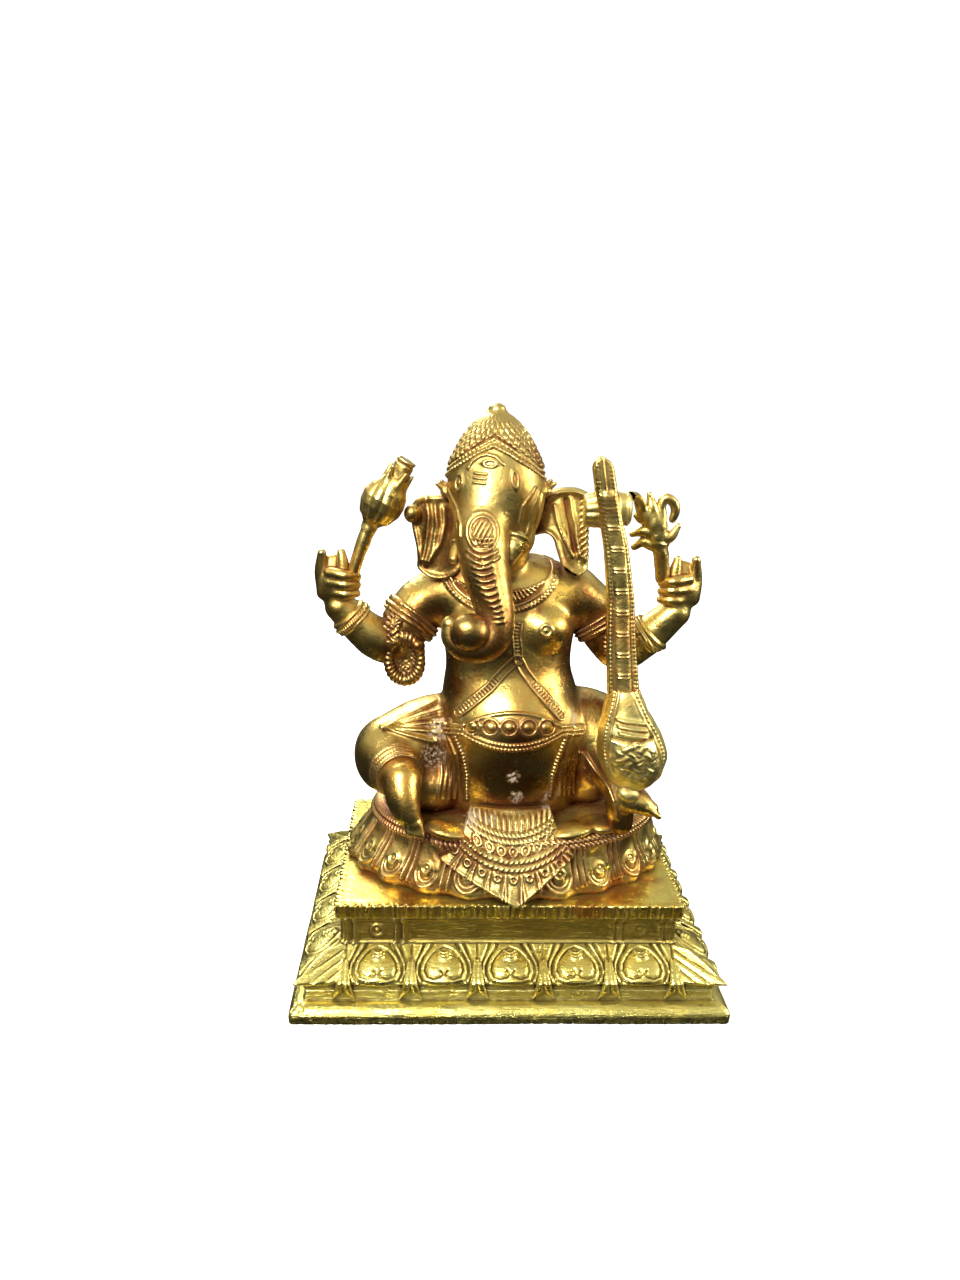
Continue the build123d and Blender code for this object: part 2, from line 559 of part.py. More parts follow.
def main():
    """Builds every piece and writes one STEP file for each."""
    seat = lotus_seat()
    made = {"plinth_slab": plinth_slab(), "lotus_moulding": lotus_moulding(), "dado_block": dado_block()}
    made.update(cap_slab=cap_slab(), retaining_pin=retaining_pin())
    made.update(figure_castings(seat))
    lute(made, seat)
    ornaments(made, seat)
    made["lotus_seat"] = cut(seat, made["retaining_pin"])
    key_together(made)
    os.makedirs("parts", exist_ok=True)
    for name, shape in made.items():
        export_step(tidy(shape), os.path.join("parts", name + ".step"))


main()
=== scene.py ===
import math
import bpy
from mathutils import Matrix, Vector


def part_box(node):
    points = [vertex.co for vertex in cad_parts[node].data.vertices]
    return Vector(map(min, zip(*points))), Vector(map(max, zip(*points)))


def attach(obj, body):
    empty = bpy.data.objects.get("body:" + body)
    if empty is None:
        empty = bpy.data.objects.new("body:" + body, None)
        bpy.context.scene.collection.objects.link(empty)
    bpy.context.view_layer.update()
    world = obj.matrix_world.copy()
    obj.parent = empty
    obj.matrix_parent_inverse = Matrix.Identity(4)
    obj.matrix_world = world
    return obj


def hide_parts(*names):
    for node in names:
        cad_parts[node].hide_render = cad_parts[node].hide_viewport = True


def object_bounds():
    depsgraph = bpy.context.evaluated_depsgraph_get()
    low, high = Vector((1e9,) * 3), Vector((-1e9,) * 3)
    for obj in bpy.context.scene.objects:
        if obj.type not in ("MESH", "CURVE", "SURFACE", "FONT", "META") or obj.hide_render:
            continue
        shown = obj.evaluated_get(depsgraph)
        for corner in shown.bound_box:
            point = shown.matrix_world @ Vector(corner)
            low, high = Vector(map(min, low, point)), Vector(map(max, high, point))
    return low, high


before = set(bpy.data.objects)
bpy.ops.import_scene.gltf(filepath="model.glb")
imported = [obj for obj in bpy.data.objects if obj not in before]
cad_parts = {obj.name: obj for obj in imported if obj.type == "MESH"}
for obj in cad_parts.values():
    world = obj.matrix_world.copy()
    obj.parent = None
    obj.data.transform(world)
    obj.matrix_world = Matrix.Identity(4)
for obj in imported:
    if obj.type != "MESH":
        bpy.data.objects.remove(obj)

from concurrent.futures import ThreadPoolExecutor

import bpy
import numpy as np
from mathutils import Euler, Matrix, Vector

# Looks of a cast brass idol: an elephant-headed seated figure with a lute, on a stepped pedestal.
#
# Each casting is a distance field, negative inside, that is skinned with quads. Carving is relief taken
# off the field, so it is in the mesh. Fields take an array of points p in millimetres; meshes are in metres.
# On the figure and the seat, h is a height above the cushion. Relief is drawn flat: u across, v or h up.

MM = 0.001
CAD_LO, CAD_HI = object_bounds()
STEP = 0.30         # spacing of the sampling grid on the large castings
STEP_SMALL = 0.22   # and on the small ones
BLOCK = 8                              # grid points per block, each way
BLOCKS_AT_ONCE = 900                   # keeps the arrays of one call small
FAR = 9                                # stands for any distance well away from the surface


def corners(node):
    """Lowest and highest corner of a CAD node, in millimetres."""
    lo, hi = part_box(node)
    return np.array(lo) / MM, np.array(hi) / MM


BOXES = {node: corners(node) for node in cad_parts}
LAP = BOXES["lotus_seat"][1][2]        # top of the cushion
SEAT_Z = BOXES["cap_slab"][1][2]       # top of the pedestal
TOP_Z = BOXES["crown"][1][2]           # top of the crown


def at(x, y, h):
    """A point given by its height above the cushion."""
    return np.array((x, y, LAP + h), np.float32)


# ---------------------------------------------------------------- distance fields
def length(v):
    """Length of each row."""
    return np.sqrt(np.einsum("ij,ij->i", v, v))


def ball(p, centre, radius):
    """A sphere."""
    return length(p - centre) - radius


def turn_matrix(degrees):
    """Rotation by Euler angles in degrees."""
    return np.array(Euler([math.radians(a) for a in degrees]).to_matrix(), np.float32)


def egg(p, centre, axes, turn=None):
    """An ellipsoid with the given half axes."""
    q = p - centre
    if turn is not None:
        q = q @ turn_matrix(turn)
    axes = np.asarray(axes, np.float32)
    inner = length(q / axes) + 1e-6
    return inner * (inner - 1) / (length(q / axes ** 2) + 1e-6)


def join(a, b, soft):
    """Union with a fillet of about the given size."""
    share = np.clip(0.5 + 0.5 * (b - a) / soft, 0, 1)
    return b + (a - b) * share - soft * share * (1 - share)


def join_edge(a, b, soft):
    """Intersection with a rounded corner."""
    return -join(-a, -b, soft)


def spline(points, count):
    """Points on a Catmull-Rom curve through points, count of them."""
    pts = np.asarray(points, float)
    ext = np.vstack((2 * pts[0] - pts[1], pts, 2 * pts[-1] - pts[-2]))
    at_knot = np.linspace(0, len(pts) - 1 - 1e-9, count)
    i = at_knot.astype(int)
    t = (at_knot - i)[:, None]
    a, b, c, d = ext[i], ext[i + 1], ext[i + 2], ext[i + 3]
    square, cube = 2 * a - 5 * b + 4 * c - d, 3 * b - a - 3 * c + d
    return (0.5 * (2 * b + (c - a) * t + square * t ** 2 + cube * t ** 3)).astype(np.float32)


def path(points, count=None):
    """A smooth tapering path through points (x, y, h, radius)."""
    pts = np.array([(*at(x, y, h), r) for x, y, h, r in points])
    return spline(pts, count or 5 * (len(points) - 1) + 1)


def along(p, way):
    """Distance from a tapering path, and the length along it of the nearest point."""
    best = run = girth = None
    done = 0.0
    for a, b in zip(way, way[1:]):
        step = b[:3] - a[:3]
        size = float(np.linalg.norm(step)) + 1e-9
        t = np.clip((p - a[:3]) @ step / size ** 2, 0, 1)
        d = length(p - a[:3] - t[:, None] * step)
        radius = a[3] + (b[3] - a[3]) * t
        if best is None:
            best, run, girth = d, t * size, radius
        else:
            near = d < best
            best = np.where(near, d, best)
            run = np.where(near, done + t * size, run)
            girth = np.where(near, radius, girth)
        done += size
    return best - girth, run


def limb(p, way):
    """A tapering rod along a path."""
    return along(p, way)[0]


def rows_table(rows, count=80):
    """Smooth table of oval sections, each (x, y, h, half width, half depth)."""
    table = spline([(x, y, LAP + h, a, b) for x, y, h, a, b in rows], count)
    table[:, 2] = np.maximum.accumulate(table[:, 2])
    return table


def loft(p, table):
    """A body through the oval sections of a table."""
    z = p[:, 2]
    cx, cy, a, b = (np.interp(z, table[:, 2], table[:, k]) for k in (0, 1, 3, 4))
    dx, dy = (p[:, 0] - cx) / a, (p[:, 1] - cy) / b
    q = np.hypot(dx, dy) + 1e-5
    slope = np.hypot(dx / a, dy / b) / q
    side = (q - 1) / slope
    return np.maximum(side, np.maximum(table[0, 2] - z, z - table[-1, 2]))


# ---------------------------------------------------------------- flat patterns used as relief
def near_line(u, v, points):
    """Distance to an open line of straight runs, and the length along it."""
    best = run = None
    done = 0.0
    for (au, av), (bu, bv) in zip(points, points[1:]):
        eu, ev = bu - au, bv - av
        size = math.hypot(eu, ev) + 1e-9
        t = np.clip(((u - au) * eu + (v - av) * ev) / size ** 2, 0, 1)
        d = np.hypot(u - au - eu * t, v - av - ev * t)
        if best is None:
            best, run = d, t * size
        else:
            near = d < best
            best = np.where(near, d, best)
            run = np.where(near, done + t * size, run)
        done += size
    return best, run


def outline(u, v, points):
    """Signed distance from a closed outline, negative inside."""
    best = np.full(u.shape, 1e9, np.float32)
    inside = np.zeros(u.shape, bool)
    for (au, av), (bu, bv) in zip(points, list(points[1:]) + [points[0]]):
        eu, ev = bu - au, bv - av
        t = np.clip(((u - au) * eu + (v - av) * ev) / (eu * eu + ev * ev + 1e-9), 0, 1)
        best = np.minimum(best, (u - au - eu * t) ** 2 + (v - av - ev * t) ** 2)
        if av != bv:
            inside ^= ((av > v) != (bv > v)) & (u < eu * (v - av) / (bv - av) + au)
    best = np.sqrt(best)
    return np.where(inside, -best, best)


def smooth_outline(points, each=4):
    """A closed outline rounded through its points."""
    pts = list(points[-2:]) + list(points) + list(points[:3])
    curve = spline(pts, (len(pts) - 1) * each + 1)
    return [tuple(map(float, c)) for c in curve[2 * each:(2 + len(points)) * each]]


def bump(distance, width):
    """A soft ridge profile, 1 on the line and gone past about twice the width."""
    return np.exp(-(distance / width) ** 2)


def stroke(u, v, points, width):
    """A soft ridge along an open line."""
    return bump(near_line(u, v, points)[0], width)


def beads(run, pitch):
    """Rise and fall of a row of beads along a line, from 0 to 1."""
    return np.abs(np.sin(run * (math.pi / pitch)))


def step_up(x, soft=0.2):
    """0 below zero and 1 above it, with a soft change."""
    return 0.5 + 0.5 * np.tanh(x / soft)


def ahead(p, depth, soft):
    """1 on what stands further forward than depth, and 0 behind it."""
    return step_up(-p[:, 1] - depth, soft)


def within_cell(run, pitch):
    """Place along a repeating pattern, counted from the middle of the nearest cell."""
    return (run + pitch / 2) % pitch - pitch / 2


def hammered(p, size, height, seed=0.0):
    """Slow unevenness of a hand-finished casting."""
    x, y, z = (p / size + seed).T
    wave = np.sin(x + 1.7 * np.sin(y * 0.9)) * np.sin(y * 1.1 + 1.3 * np.sin(z * 1.2))
    return height * (wave + 0.5 * np.sin(2.3 * z + 2.1 * np.sin(1.9 * x)))


# ---------------------------------------------------------------- skin of a field
def sample(field, lo, hi, step):
    """The field on a grid. It is exact near the surface, and only its sign is kept further away."""
    count = np.ceil((hi - lo) / step / BLOCK).astype(int)
    base = lo.astype(np.float32)
    spots = np.stack(np.meshgrid(*(np.arange(n) for n in count), indexing="ij"), -1).reshape(-1, 3)
    centres = (base + (spots * BLOCK + (BLOCK - 1) / 2) * step).astype(np.float32)
    rough = field(centres)
    half_diagonal = BLOCK * step * 0.87
    reach = half_diagonal * 1.25 + 0.9   # with room for relief and for fields that overstate distance
    values = np.repeat(np.sign(rough).astype(np.float32)[:, None] * FAR, BLOCK ** 3, 1)
    near = np.flatnonzero(np.abs(rough) < reach)
    inner = np.stack(np.meshgrid(*(np.arange(BLOCK),) * 3, indexing="ij"), -1).reshape(-1, 3)
    for part in np.array_split(near, max(1, len(near) // BLOCKS_AT_ONCE)):
        if len(part):
            p = (base + (spots[part][:, None, :] * BLOCK + inner) * step).reshape(-1, 3).astype(np.float32)
            values[part] = field(p).reshape(len(part), -1)
    shape = (*count, BLOCK, BLOCK, BLOCK)
    grid = values.reshape(shape).transpose(0, 3, 1, 4, 2, 5)
    return np.ascontiguousarray(grid).reshape(tuple(count * BLOCK))


def skin(grid, lo, step):
    """Quads of the zero surface, one vertex for each cell that the surface crosses."""
    inside = grid < 0
    count = sum(inside[i:i - 1 or None, j:j - 1 or None, k:k - 1 or None].astype(np.uint8)
                for i in (0, 1) for j in (0, 1) for k in (0, 1))
    active = (count > 0) & (count < 8)
    index = np.full(active.shape, -1, np.int32)
    cells = np.argwhere(active)
    index[active] = np.arange(len(cells), dtype=np.int32)
    offsets = np.array([(i, j, k) for i in (0, 1) for j in (0, 1) for k in (0, 1)])
    value = np.stack([grid[tuple((cells + o).T)] for o in offsets], 1)
    total = np.zeros((len(cells), 3), np.float32)
    hits = np.zeros(len(cells), np.float32)
    for a in range(8):
        for b in range(a + 1, 8):
            if np.abs(offsets[a] - offsets[b]).sum() != 1:
                continue
            va, vb = value[:, a], value[:, b]
            cross = (va < 0) != (vb < 0)
            t = np.where(cross, va / np.where(cross, va - vb, 1), 0)
            total += cross[:, None] * (offsets[a] + t[:, None] * (offsets[b] - offsets[a]))
            hits += cross
    verts = lo + (cells + total / hits[:, None]) * step
    quads = []
    for axis in range(3):
        one, two = (axis + 1) % 3, (axis + 2) % 3
        near = np.moveaxis(inside, axis, 0)
        change = np.moveaxis(near[1:] != near[:-1], 0, axis)
        spots = np.argwhere(change)
        fits = np.ones(len(spots), bool)
        for other in (one, two):
            fits &= (spots[:, other] > 0) & (spots[:, other] < grid.shape[other] - 1)
        spots = spots[fits]
        unit = np.eye(3, dtype=int)
        ring = [spots - unit[one] - unit[two], spots - unit[two], spots, spots - unit[one]]
        quad = np.stack([index[tuple(r.T)] for r in ring], 1)
        outward = inside[tuple(spots.T)]
        quad[~outward] = quad[~outward][:, ::-1]
        quads.append(quad)
    return verts.astype(np.float32), np.vstack(quads)


def settle(field, verts, step):
    """Moves each vertex onto the surface, by no more than half a cell."""
    reach = 0.25 * step
    probes = np.array(((1, -1, -1), (-1, -1, 1), (-1, 1, -1), (1, 1, 1)), np.float32)
    slope = np.zeros_like(verts)
    value = np.zeros(len(verts), np.float32)
    for probe in probes:
        d = field(verts + probe * reach).astype(np.float32)
        slope += d[:, None] * probe
        value += d / 4
    slope /= 4 * reach
    size = np.maximum(np.einsum("ij,ij->i", slope, slope), 0.05)
    move = -slope * (value / size)[:, None]
    far = length(move)
    limit = 0.5 * step
    return verts + move * np.minimum(1, limit / np.maximum(far, 1e-9))[:, None]


def surface(field, lo, hi, step):
    """Vertices and quads of a field between two corners."""
    lo, hi = np.asarray(lo, float) - 2 * step, np.asarray(hi, float) + 2 * step
    verts, quads = skin(sample(field, lo, hi, step), lo, step)
    return settle(field, verts, step), quads


# ---------------------------------------------------------------- meshes and pieces
def make_piece(node, verts, quads, material):
    """The casting that stands for one CAD node, from vertices in millimetres and quads."""
    name = node + "_cast"
    mesh = bpy.data.meshes.new(name)
    mesh.vertices.add(len(verts))
    mesh.vertices.foreach_set("co", (np.asarray(verts, np.float64) * MM).astype(np.float32).ravel())
    mesh.loops.add(quads.size)
    mesh.loops.foreach_set("vertex_index", quads.astype(np.int32).ravel())
    mesh.polygons.add(len(quads))
    mesh.polygons.foreach_set("loop_start", np.arange(0, quads.size, 4, dtype=np.int32))
    mesh.polygons.foreach_set("use_smooth", np.ones(len(quads), bool))
    mesh.update(calc_edges=True)
    mesh.validate()
    piece = bpy.data.objects.new(name, mesh)
    bpy.context.scene.collection.objects.link(piece)
    mesh.materials.append(material)
    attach(piece, "root")
    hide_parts(node)


# ---------------------------------------------------------------- figure: torso and limbs
SIGHT = 0.278          # rise of a mark on the front view for each millimetre it stands further back


def front(p, y):
    """Across and up on the front view, which looks down a little, for marks at about depth y."""
    return p[:, 0], p[:, 2] - LAP + SIGHT * (p[:, 1] - y)


TORSO = rows_table([
    (0.5, -2.0, -1.0, 18.0, 17.0), (0.5, -3.0, 7.0, 19.5, 18.6), (1.0, -3.5, 17.0, 21.0, 19.0),
    (1.0, -3.5, 26.0, 19.8, 18.8), (0.0, -2.6, 34.0, 17.8, 16.4), (-0.5, -2.0, 40.0, 16.8, 14.2),
    (-0.5, -1.5, 49.0, 17.8, 13.2), (-0.5, -0.5, 56.5, 19.4, 12.2), (-1.0, 0.0, 62.0, 18.0, 10.6),
    (-1.6, 0.2, 65.6, 15.6, 9.0), (-2.2, 0.4, 67.6, 11.5, 7.6), (-4.0, 0.0, 69.2, 7.6, 7.0),
    (-4.5, -1.0, 75.0, 6.6, 7.0),
])
RIGHT_THIGH = path([(-12, 2, 16.0, 12.6), (-21, -2.5, 17.0, 12.0), (-31.5, -7, 14.8, 10.3)], 25)
LEFT_THIGH = path([(12, 2, 18.0, 13.4), (22.5, -2, 18.4, 12.4), (30.0, -7, 15.0, 10.2)], 25)
RIGHT_SHIN = path([(-31.4, -11, 13.6, 8.8), (-30.0, -17, 13.4, 6.6), (-28.4, -22, 12.8, 5.0)], 17)
LEFT_SHIN = path([(30.0, -11, 13.4, 8.8), (30.0, -17, 11.8, 6.8), (29.8, -22, 10.8, 5.0)], 17)
RIGHT_FOOT = path([(-28.2, -22.4, 12.8, 4.8), (-28.0, -25.0, 9.6, 4.6), (-26.8, -26.8, 6.0, 3.7),
                   (-25.2, -27.8, 3.4, 2.5)], 25)
LEFT_FOOT = path([(29.4, -22.5, 10.4, 4.6), (30.2, -25.4, 9.6, 3.8), (33.2, -27.0, 8.8, 2.9),
                  (35.8, -27.8, 7.6, 2.1)], 25)
LEFT_HEEL = path([(28.8, -22.0, 6.0, 4.0), (29.0, -22.6, 1.5, 3.4)])
HEM_LEFT = ((15.2, 25.6), (13.7, 20.9), (12.3, 16.7), (11.1, 12.4), (10.8, 6.5))
HEM_RIGHT = ((-16.3, 27.1), (-14.7, 22.1), (-12.8, 17.9), (-11.7, 12.3), (-11.6, 5.5))


def lap_folds(p):
    """Folds of the lower garment that fan out over the lap from the ends of the belt."""
    u, v = front(p, -17.0)
    rise = 0
    for hem, side in ((HEM_RIGHT, -1), (HEM_LEFT, 1)):
        for k in (2.1, 3.2, 4.3, 5.4):
            fold = [(x + side * k * (0.75 + 0.028 * (27 - h)), h) for x, h in hem]
            rise = rise + 0.50 * stroke(u, v, fold, 0.52)
    return rise * ahead(p, 6, 1.5) * step_up(v - 3.0, 1.0)


def thigh_folds(p):
    """Cloth drawn to a point over the right knee."""
    u, v = front(p, -14.0)
    rise = 0
    for x, h in ((-20.0, 31.6), (-18.5, 29.0), (-18.0, 26.0), (-18.4, 23.2), (-20.5, 20.4)):
        fold, run = near_line(u, v, [(-34.2, 24.4), (x, h)])
        rise = rise + 0.55 * bump(fold, 0.35 + 0.03 * run)
    return rise * ahead(p, 3, 1.5)


def torso(p):
    """Belly, chest and shoulders, with a ring on the left breast and folds of cloth at the lap."""
    d = loft(p, TORSO)
    for side in (-1, 1):
        d = join(d, egg(p, at(side * 8.4 - 0.4, -8.6, 50.4), (7.4, 6.8, 6.8)), 1.6)
        d = join(d, egg(p, at(side * 15.5 - 0.5, 0.0, 57.5), (8.5, 8.2, 7.6)), 3.0)
    d = join(d, egg(p, at(0.2, -10.0, 26.5), (15.5, 13.0, 9.5)), 4.0)
    u, v = front(p, -14.0)
    away = np.hypot(u - 8.4, v - 51.2)
    ring = (0.45 * bump(away - 1.5, 0.36) + 0.35 * bump(away, 0.5)) * ahead(p, 8, 0.6)
    return d - ring - lap_folds(p) + hammered(p, 6.0, 0.10)


def right_leg(p):
    """Thigh, bent knee, shin and hanging foot of the figure's right leg."""
    d = join(limb(p, RIGHT_THIGH), limb(p, RIGHT_SHIN), 3.0)
    d = join(d, limb(p, RIGHT_FOOT), 1.2)
    for i in range(5):
        root = (-27.2 + 0.9 * i, -28.8, 4.2 - 0.3 * i, 0.9)
        tip = (-26.4 + 0.85 * i, -29.6, 1.4 - 0.2 * i, 0.75)
        d = join(d, limb(p, path([root, tip], 3)), 0.4)
    d = join(d, egg(p, at(-20.5, -9.5, 7.0), (9.0, 8.5, 8.0)), 3.0)
    return d - lap_folds(p) - thigh_folds(p) + hammered(p, 5.0, 0.08, 2.0)


def left_leg(p):
    """The figure's left leg, with the foot out to the side under the lute."""
    d = join(limb(p, LEFT_THIGH), limb(p, LEFT_SHIN), 3.0)
    d = join(d, join(limb(p, LEFT_FOOT), limb(p, LEFT_HEEL), 1.5), 1.2)
    for i in range(4):
        root = (34.8, -29.2 + 1.3 * i, 8.2, 0.95)
        tip = (37.6, -29.8 + 1.4 * i, 6.4 - 0.2 * i, 0.8)
        d = join(d, limb(p, path([root, tip], 3)), 0.4)
    d = join(d, egg(p, at(20.0, -3.0, 6.0), (8.5, 8.0, 7.5)), 3.0)
    u, v = front(p, -22.0)
    hem = stroke(u, v, [(17.1, 20.4), (19.8, 19.3), (22.6, 14.8), (24.9, 11.5), (27.6, 3.0)], 0.6)
    return d - lap_folds(p) - 0.9 * hem * ahead(p, 8, 1.5) + hammered(p, 5.0, 0.08, 4.0)


RIGHT_ARM = path([(-17.5, 1, 57.4, 8.0), (-24.0, 0.3, 54.0, 7.3), (-28.6, -1.5, 48.4, 6.8),
                  (-32.4, -3, 44.9, 6.1), (-38.0, -4.2, 47.6, 5.3), (-45.2, -5.2, 54.8, 4.1)])
LEFT_ARM = path([(16.5, 1, 57.4, 7.9), (22.6, 0.5, 53.0, 7.1), (27.0, -1.0, 46.4, 6.5),
                 (30.6, -2.2, 43.2, 5.9), (36.6, -3.8, 47.4, 5.2), (43.6, -5.2, 54.2, 4.1)])


def fingers(p, wrist, side):
    """Cupped hand: an upright outer finger, three curled fingers and a thumb. side is -1 or 1."""
    x, y, h = wrist
    d = egg(p, at(x + side * 1.0, y, h + 5.6), (4.6, 3.4, 5.6), (0, side * 6, 0))
    d = join(d, egg(p, at(x + side * 1.6, y + 1.2, h + 9.2), (4.6, 2.2, 4.6)), 1.0)
    outer = path([(x + side * 4.0, y + 0.4, h + 4.0, 2.3), (x + side * 4.8, y + 0.6, h + 9.0, 2.0),
                  (x + side * 4.6, y - 0.4, h + 14.4, 1.2)], 9)
    ring = path([(x + side * 3.0, y + 2.2, h + 5.0, 2.0), (x + side * 2.6, y + 2.4, h + 10.0, 1.8),
                 (x + side * 1.0, y + 1.6, h + 12.4, 1.4)], 9)
    d = join(d, np.minimum(limb(p, outer), limb(p, ring)), 0.7)
    for i in range(3):
        curl = path([(x + side * 2.6, y - 2.0 + 0.4 * i, h + 9.6 - 2.7 * i, 1.45),
                     (x - side * 1.6, y - 3.8 + 0.3 * i, h + 9.2 - 2.6 * i, 1.4),
                     (x - side * 4.4, y - 1.6, h + 8.4 - 2.2 * i, 1.15)], 9)
        d = join(d, limb(p, curl), 0.45)
    thumb = path([(x - side * 1.8, y - 1.6, h + 5.6, 1.8), (x - side * 0.9, y - 1.0, h + 11.6, 1.6),
                  (x - side * 0.4, y - 0.6, h + 14.6, 1.1)], 9)
    return join(d, limb(p, thumb), 0.6)


def arm(p, way, side):
    """Upper arm, bent elbow, forearm and hand."""
    d = limb(p, way)
    wrist = (float(way[-1][0]), float(way[-1][1]), float(way[-1][2]) - LAP)
    d = join(d, fingers(p, wrist, side), 1.2)
    return d + hammered(p, 4.0, 0.10, 6.0 + side)


def right_arm(p):
    """The figure's right arm, which holds up the bud."""
    return arm(p, RIGHT_ARM, -1)


def left_arm(p):
    """The figure's left arm, which holds up the goad."""
    return arm(p, LEFT_ARM, 1)


# ---------------------------------------------------------------- figure: head
SKULL = rows_table([
    (-4.4, -2.0, 60.0, 6.4, 7.0), (-4.6, -3.8, 67.0, 8.2, 8.8), (-4.8, -5.0, 74.0, 10.0, 10.6),
    (-4.7, -5.0, 79.0, 11.5, 11.6), (-4.5, -4.5, 84.5, 12.4, 12.2), (-4.8, -4.0, 90.0, 12.4, 12.2),
    (-5.0, -4.0, 97.0, 9.8, 9.8), (-5.0, -4.0, 102.0, 4.0, 4.0),
])
TRUNK = path([(-6.5, -9.5, 83.5, 8.0), (-8.4, -14.5, 78.0, 7.0), (-8.2, -18.8, 71.0, 6.3),
              (-6.6, -22.4, 64.0, 5.5), (-5.1, -24.4, 57.4, 4.7), (-5.8, -26.0, 52.4, 4.3),
              (-9.0, -26.6, 50.0, 3.8), (-12.8, -26.6, 50.0, 3.3), (-15.8, -26.4, 52.4, 2.8),
              (-16.4, -26.2, 55.8, 2.2)], 46)
BALL = at(-11.6, -29.0, 54.6)


def trunk_relief(p, run):
    """Cross ridges down the front of the trunk, with a low rim along the figure's left of them."""
    hanging = TRUNK[29:9:-1]
    offset = p[:, 0] - np.interp(p[:, 2], hanging[:, 2], hanging[:, 0])
    left = np.interp(run, (10, 24, 30), (-3.8, -2.6, 0.0))
    right = np.interp(run, (8, 20, 40), (2.4, 1.9, 1.7))
    facing = ahead(p, np.interp(run, (10, 40), (13, 22)), 0.8)
    inside = step_up(right - offset, 0.25) * step_up(offset - left, 0.6)
    inside = inside * step_up(run - 13.0, 0.4) * step_up(33 - run, 0.6)
    ridges = 0.55 * beads(run + 0.12 * offset ** 2, 1.4) * inside
    rim = 0.22 * bump(offset - right - 0.2, 0.4) * step_up(run - 14, 0.6) * step_up(36 - run, 1.0)
    return (ridges + rim) * facing


def roundel_relief(p):
    """Slanted bars in a ringed oval at the root of the trunk, with crescents under it."""
    u, v = p[:, 0] + 8.8, p[:, 2] - LAP - 78.2
    out = np.hypot(u, v / 1.15)
    rings = 0.42 * bump(out - 3.1, 0.30) + 0.34 * bump(out - 3.95, 0.30)
    bars = 0.55 * beads(0.86 * u - 0.50 * v, 1.0) * step_up(2.5 - out, 0.15)
    crescents = stroke(u, v, [(-3.4, -4.6), (0.0, -6.0), (3.6, -4.4)], 0.42)
    crescents = 0.55 * (crescents + stroke(u, v, [(-3.6, -6.1), (0.2, -7.5), (4.0, -5.9)], 0.42))
    return (rings + bars + crescents) * ahead(p, 13, 0.6)


EYES = ((-14.7, 88.9, 0.12), (-0.7, 90.3, -0.12))      # across, up, lean
BROW_ARCH = [(-12.4, 92.6), (-11.4, 94.4), (-9.6, 95.7), (-7.8, 96.2), (-5.6, 95.7), (-3.8, 94.0)]
CHEEK_FOLDS = ([(-19.0, 86.0), (-16.7, 83.7), (-15.4, 80.2), (-15.1, 76.3)],
               [(-17.6, 86.6), (-15.4, 83.0), (-14.4, 79.6), (-14.4, 76.6)],
               [(4.5, 88.0), (1.6, 83.8), (0.8, 79.6), (2.3, 76.0)],
               [(5.6, 87.0), (4.4, 83.5), (3.6, 79.4), (2.8, 76.4)],
               [(6.8, 86.0), (6.0, 82.0), (5.2, 78.0)])


def face_relief(p):
    """Eyes, brow arch with an eye-shaped mark, forehead bars and the folds in front of the ears."""
    u, v = p[:, 0], p[:, 2] - LAP
    rise = 0.45 * stroke(u, v, BROW_ARCH, 0.36)
    for x, h, lean in EYES:
        lens = np.hypot((u - x - lean * (v - h)) / 0.85, (v - h) / 2.0)
        rise += 0.45 * bump(lens - 1.0, 0.32) + 0.30 * bump(lens, 0.45)
    mark = np.hypot((u + 7.0) / 1.6, (v - 94.0) / 0.8)
    rise += 0.35 * bump(mark - 1, 0.3) - 0.25 * bump(np.hypot((u + 9.6) / 1.5, (v - 93.2) / 0.8), 0.8)
    for i in range(3):
        bar = [(-10.7 - 0.1 * i, 91.6 - 1.1 * i), (-7.8 - 0.2 * i, 91.5 - 1.1 * i)]
        rise += 0.28 * stroke(u, v, bar, 0.26)
    for fold in CHEEK_FOLDS:
        rise += 0.40 * stroke(u, v, fold, 0.40)
    return rise * ahead(p, 6.5, 0.8)


def head(p):
    """Head and trunk, filleted together, with cheeks and tusk sockets."""
    trunk, run = along(p, TRUNK)
    skull = loft(p, SKULL)
    skull = join(skull, egg(p, at(-5.2, -8.0, 85.0), (10.4, 9.2, 9.6)), 3.0)
    skull = join(skull, egg(p, at(0.2, -10.0, 75.0), (5.0, 5.0, 5.6)), 1.4)
    skull = join(skull, egg(p, at(-13.4, -10.5, 73.6), (3.2, 4.6, 4.6)), 1.4)
    d = join(skull, trunk, 2.2)
    return d - trunk_relief(p, run) - roundel_relief(p) - face_relief(p) + hammered(p, 5.0, 0.06, 8.0)


RIGHT_TUSK = path([(-13.6, -13.0, 74.0, 2.0), (-14.8, -15.6, 72.0, 1.7), (-15.6, -17.4, 70.4, 1.3)], 7)
LEFT_TUSK = path([(0.2, -13.0, 75.4, 3.0), (-0.6, -15.2, 73.4, 2.9), (-1.8, -16.8, 70.6, 1.8)], 7)


def tusk_socket(p, way):
    """A folded sleeve of skin round the root of a tusk."""
    centre, axis = way[2][:3], way[-1][:3] - way[0][:3]
    axis = axis / np.linalg.norm(axis)
    q = p - centre
    up = q @ axis
    across = length(q - up[:, None] * axis)
    return np.hypot(across - way[2][3] - 0.1, up + 0.8) - 0.65


def tusk(way):
    """Field of a tusk with its socket."""
    return lambda p: join(limb(p, way), tusk_socket(p, way), 0.4)


def sweet_ball(p):
    """Round sweet held in the curl of the trunk."""
    return egg(p, BALL, (4.9, 4.2, 4.7)) + hammered(p, 2.2, 0.08, 1.0)


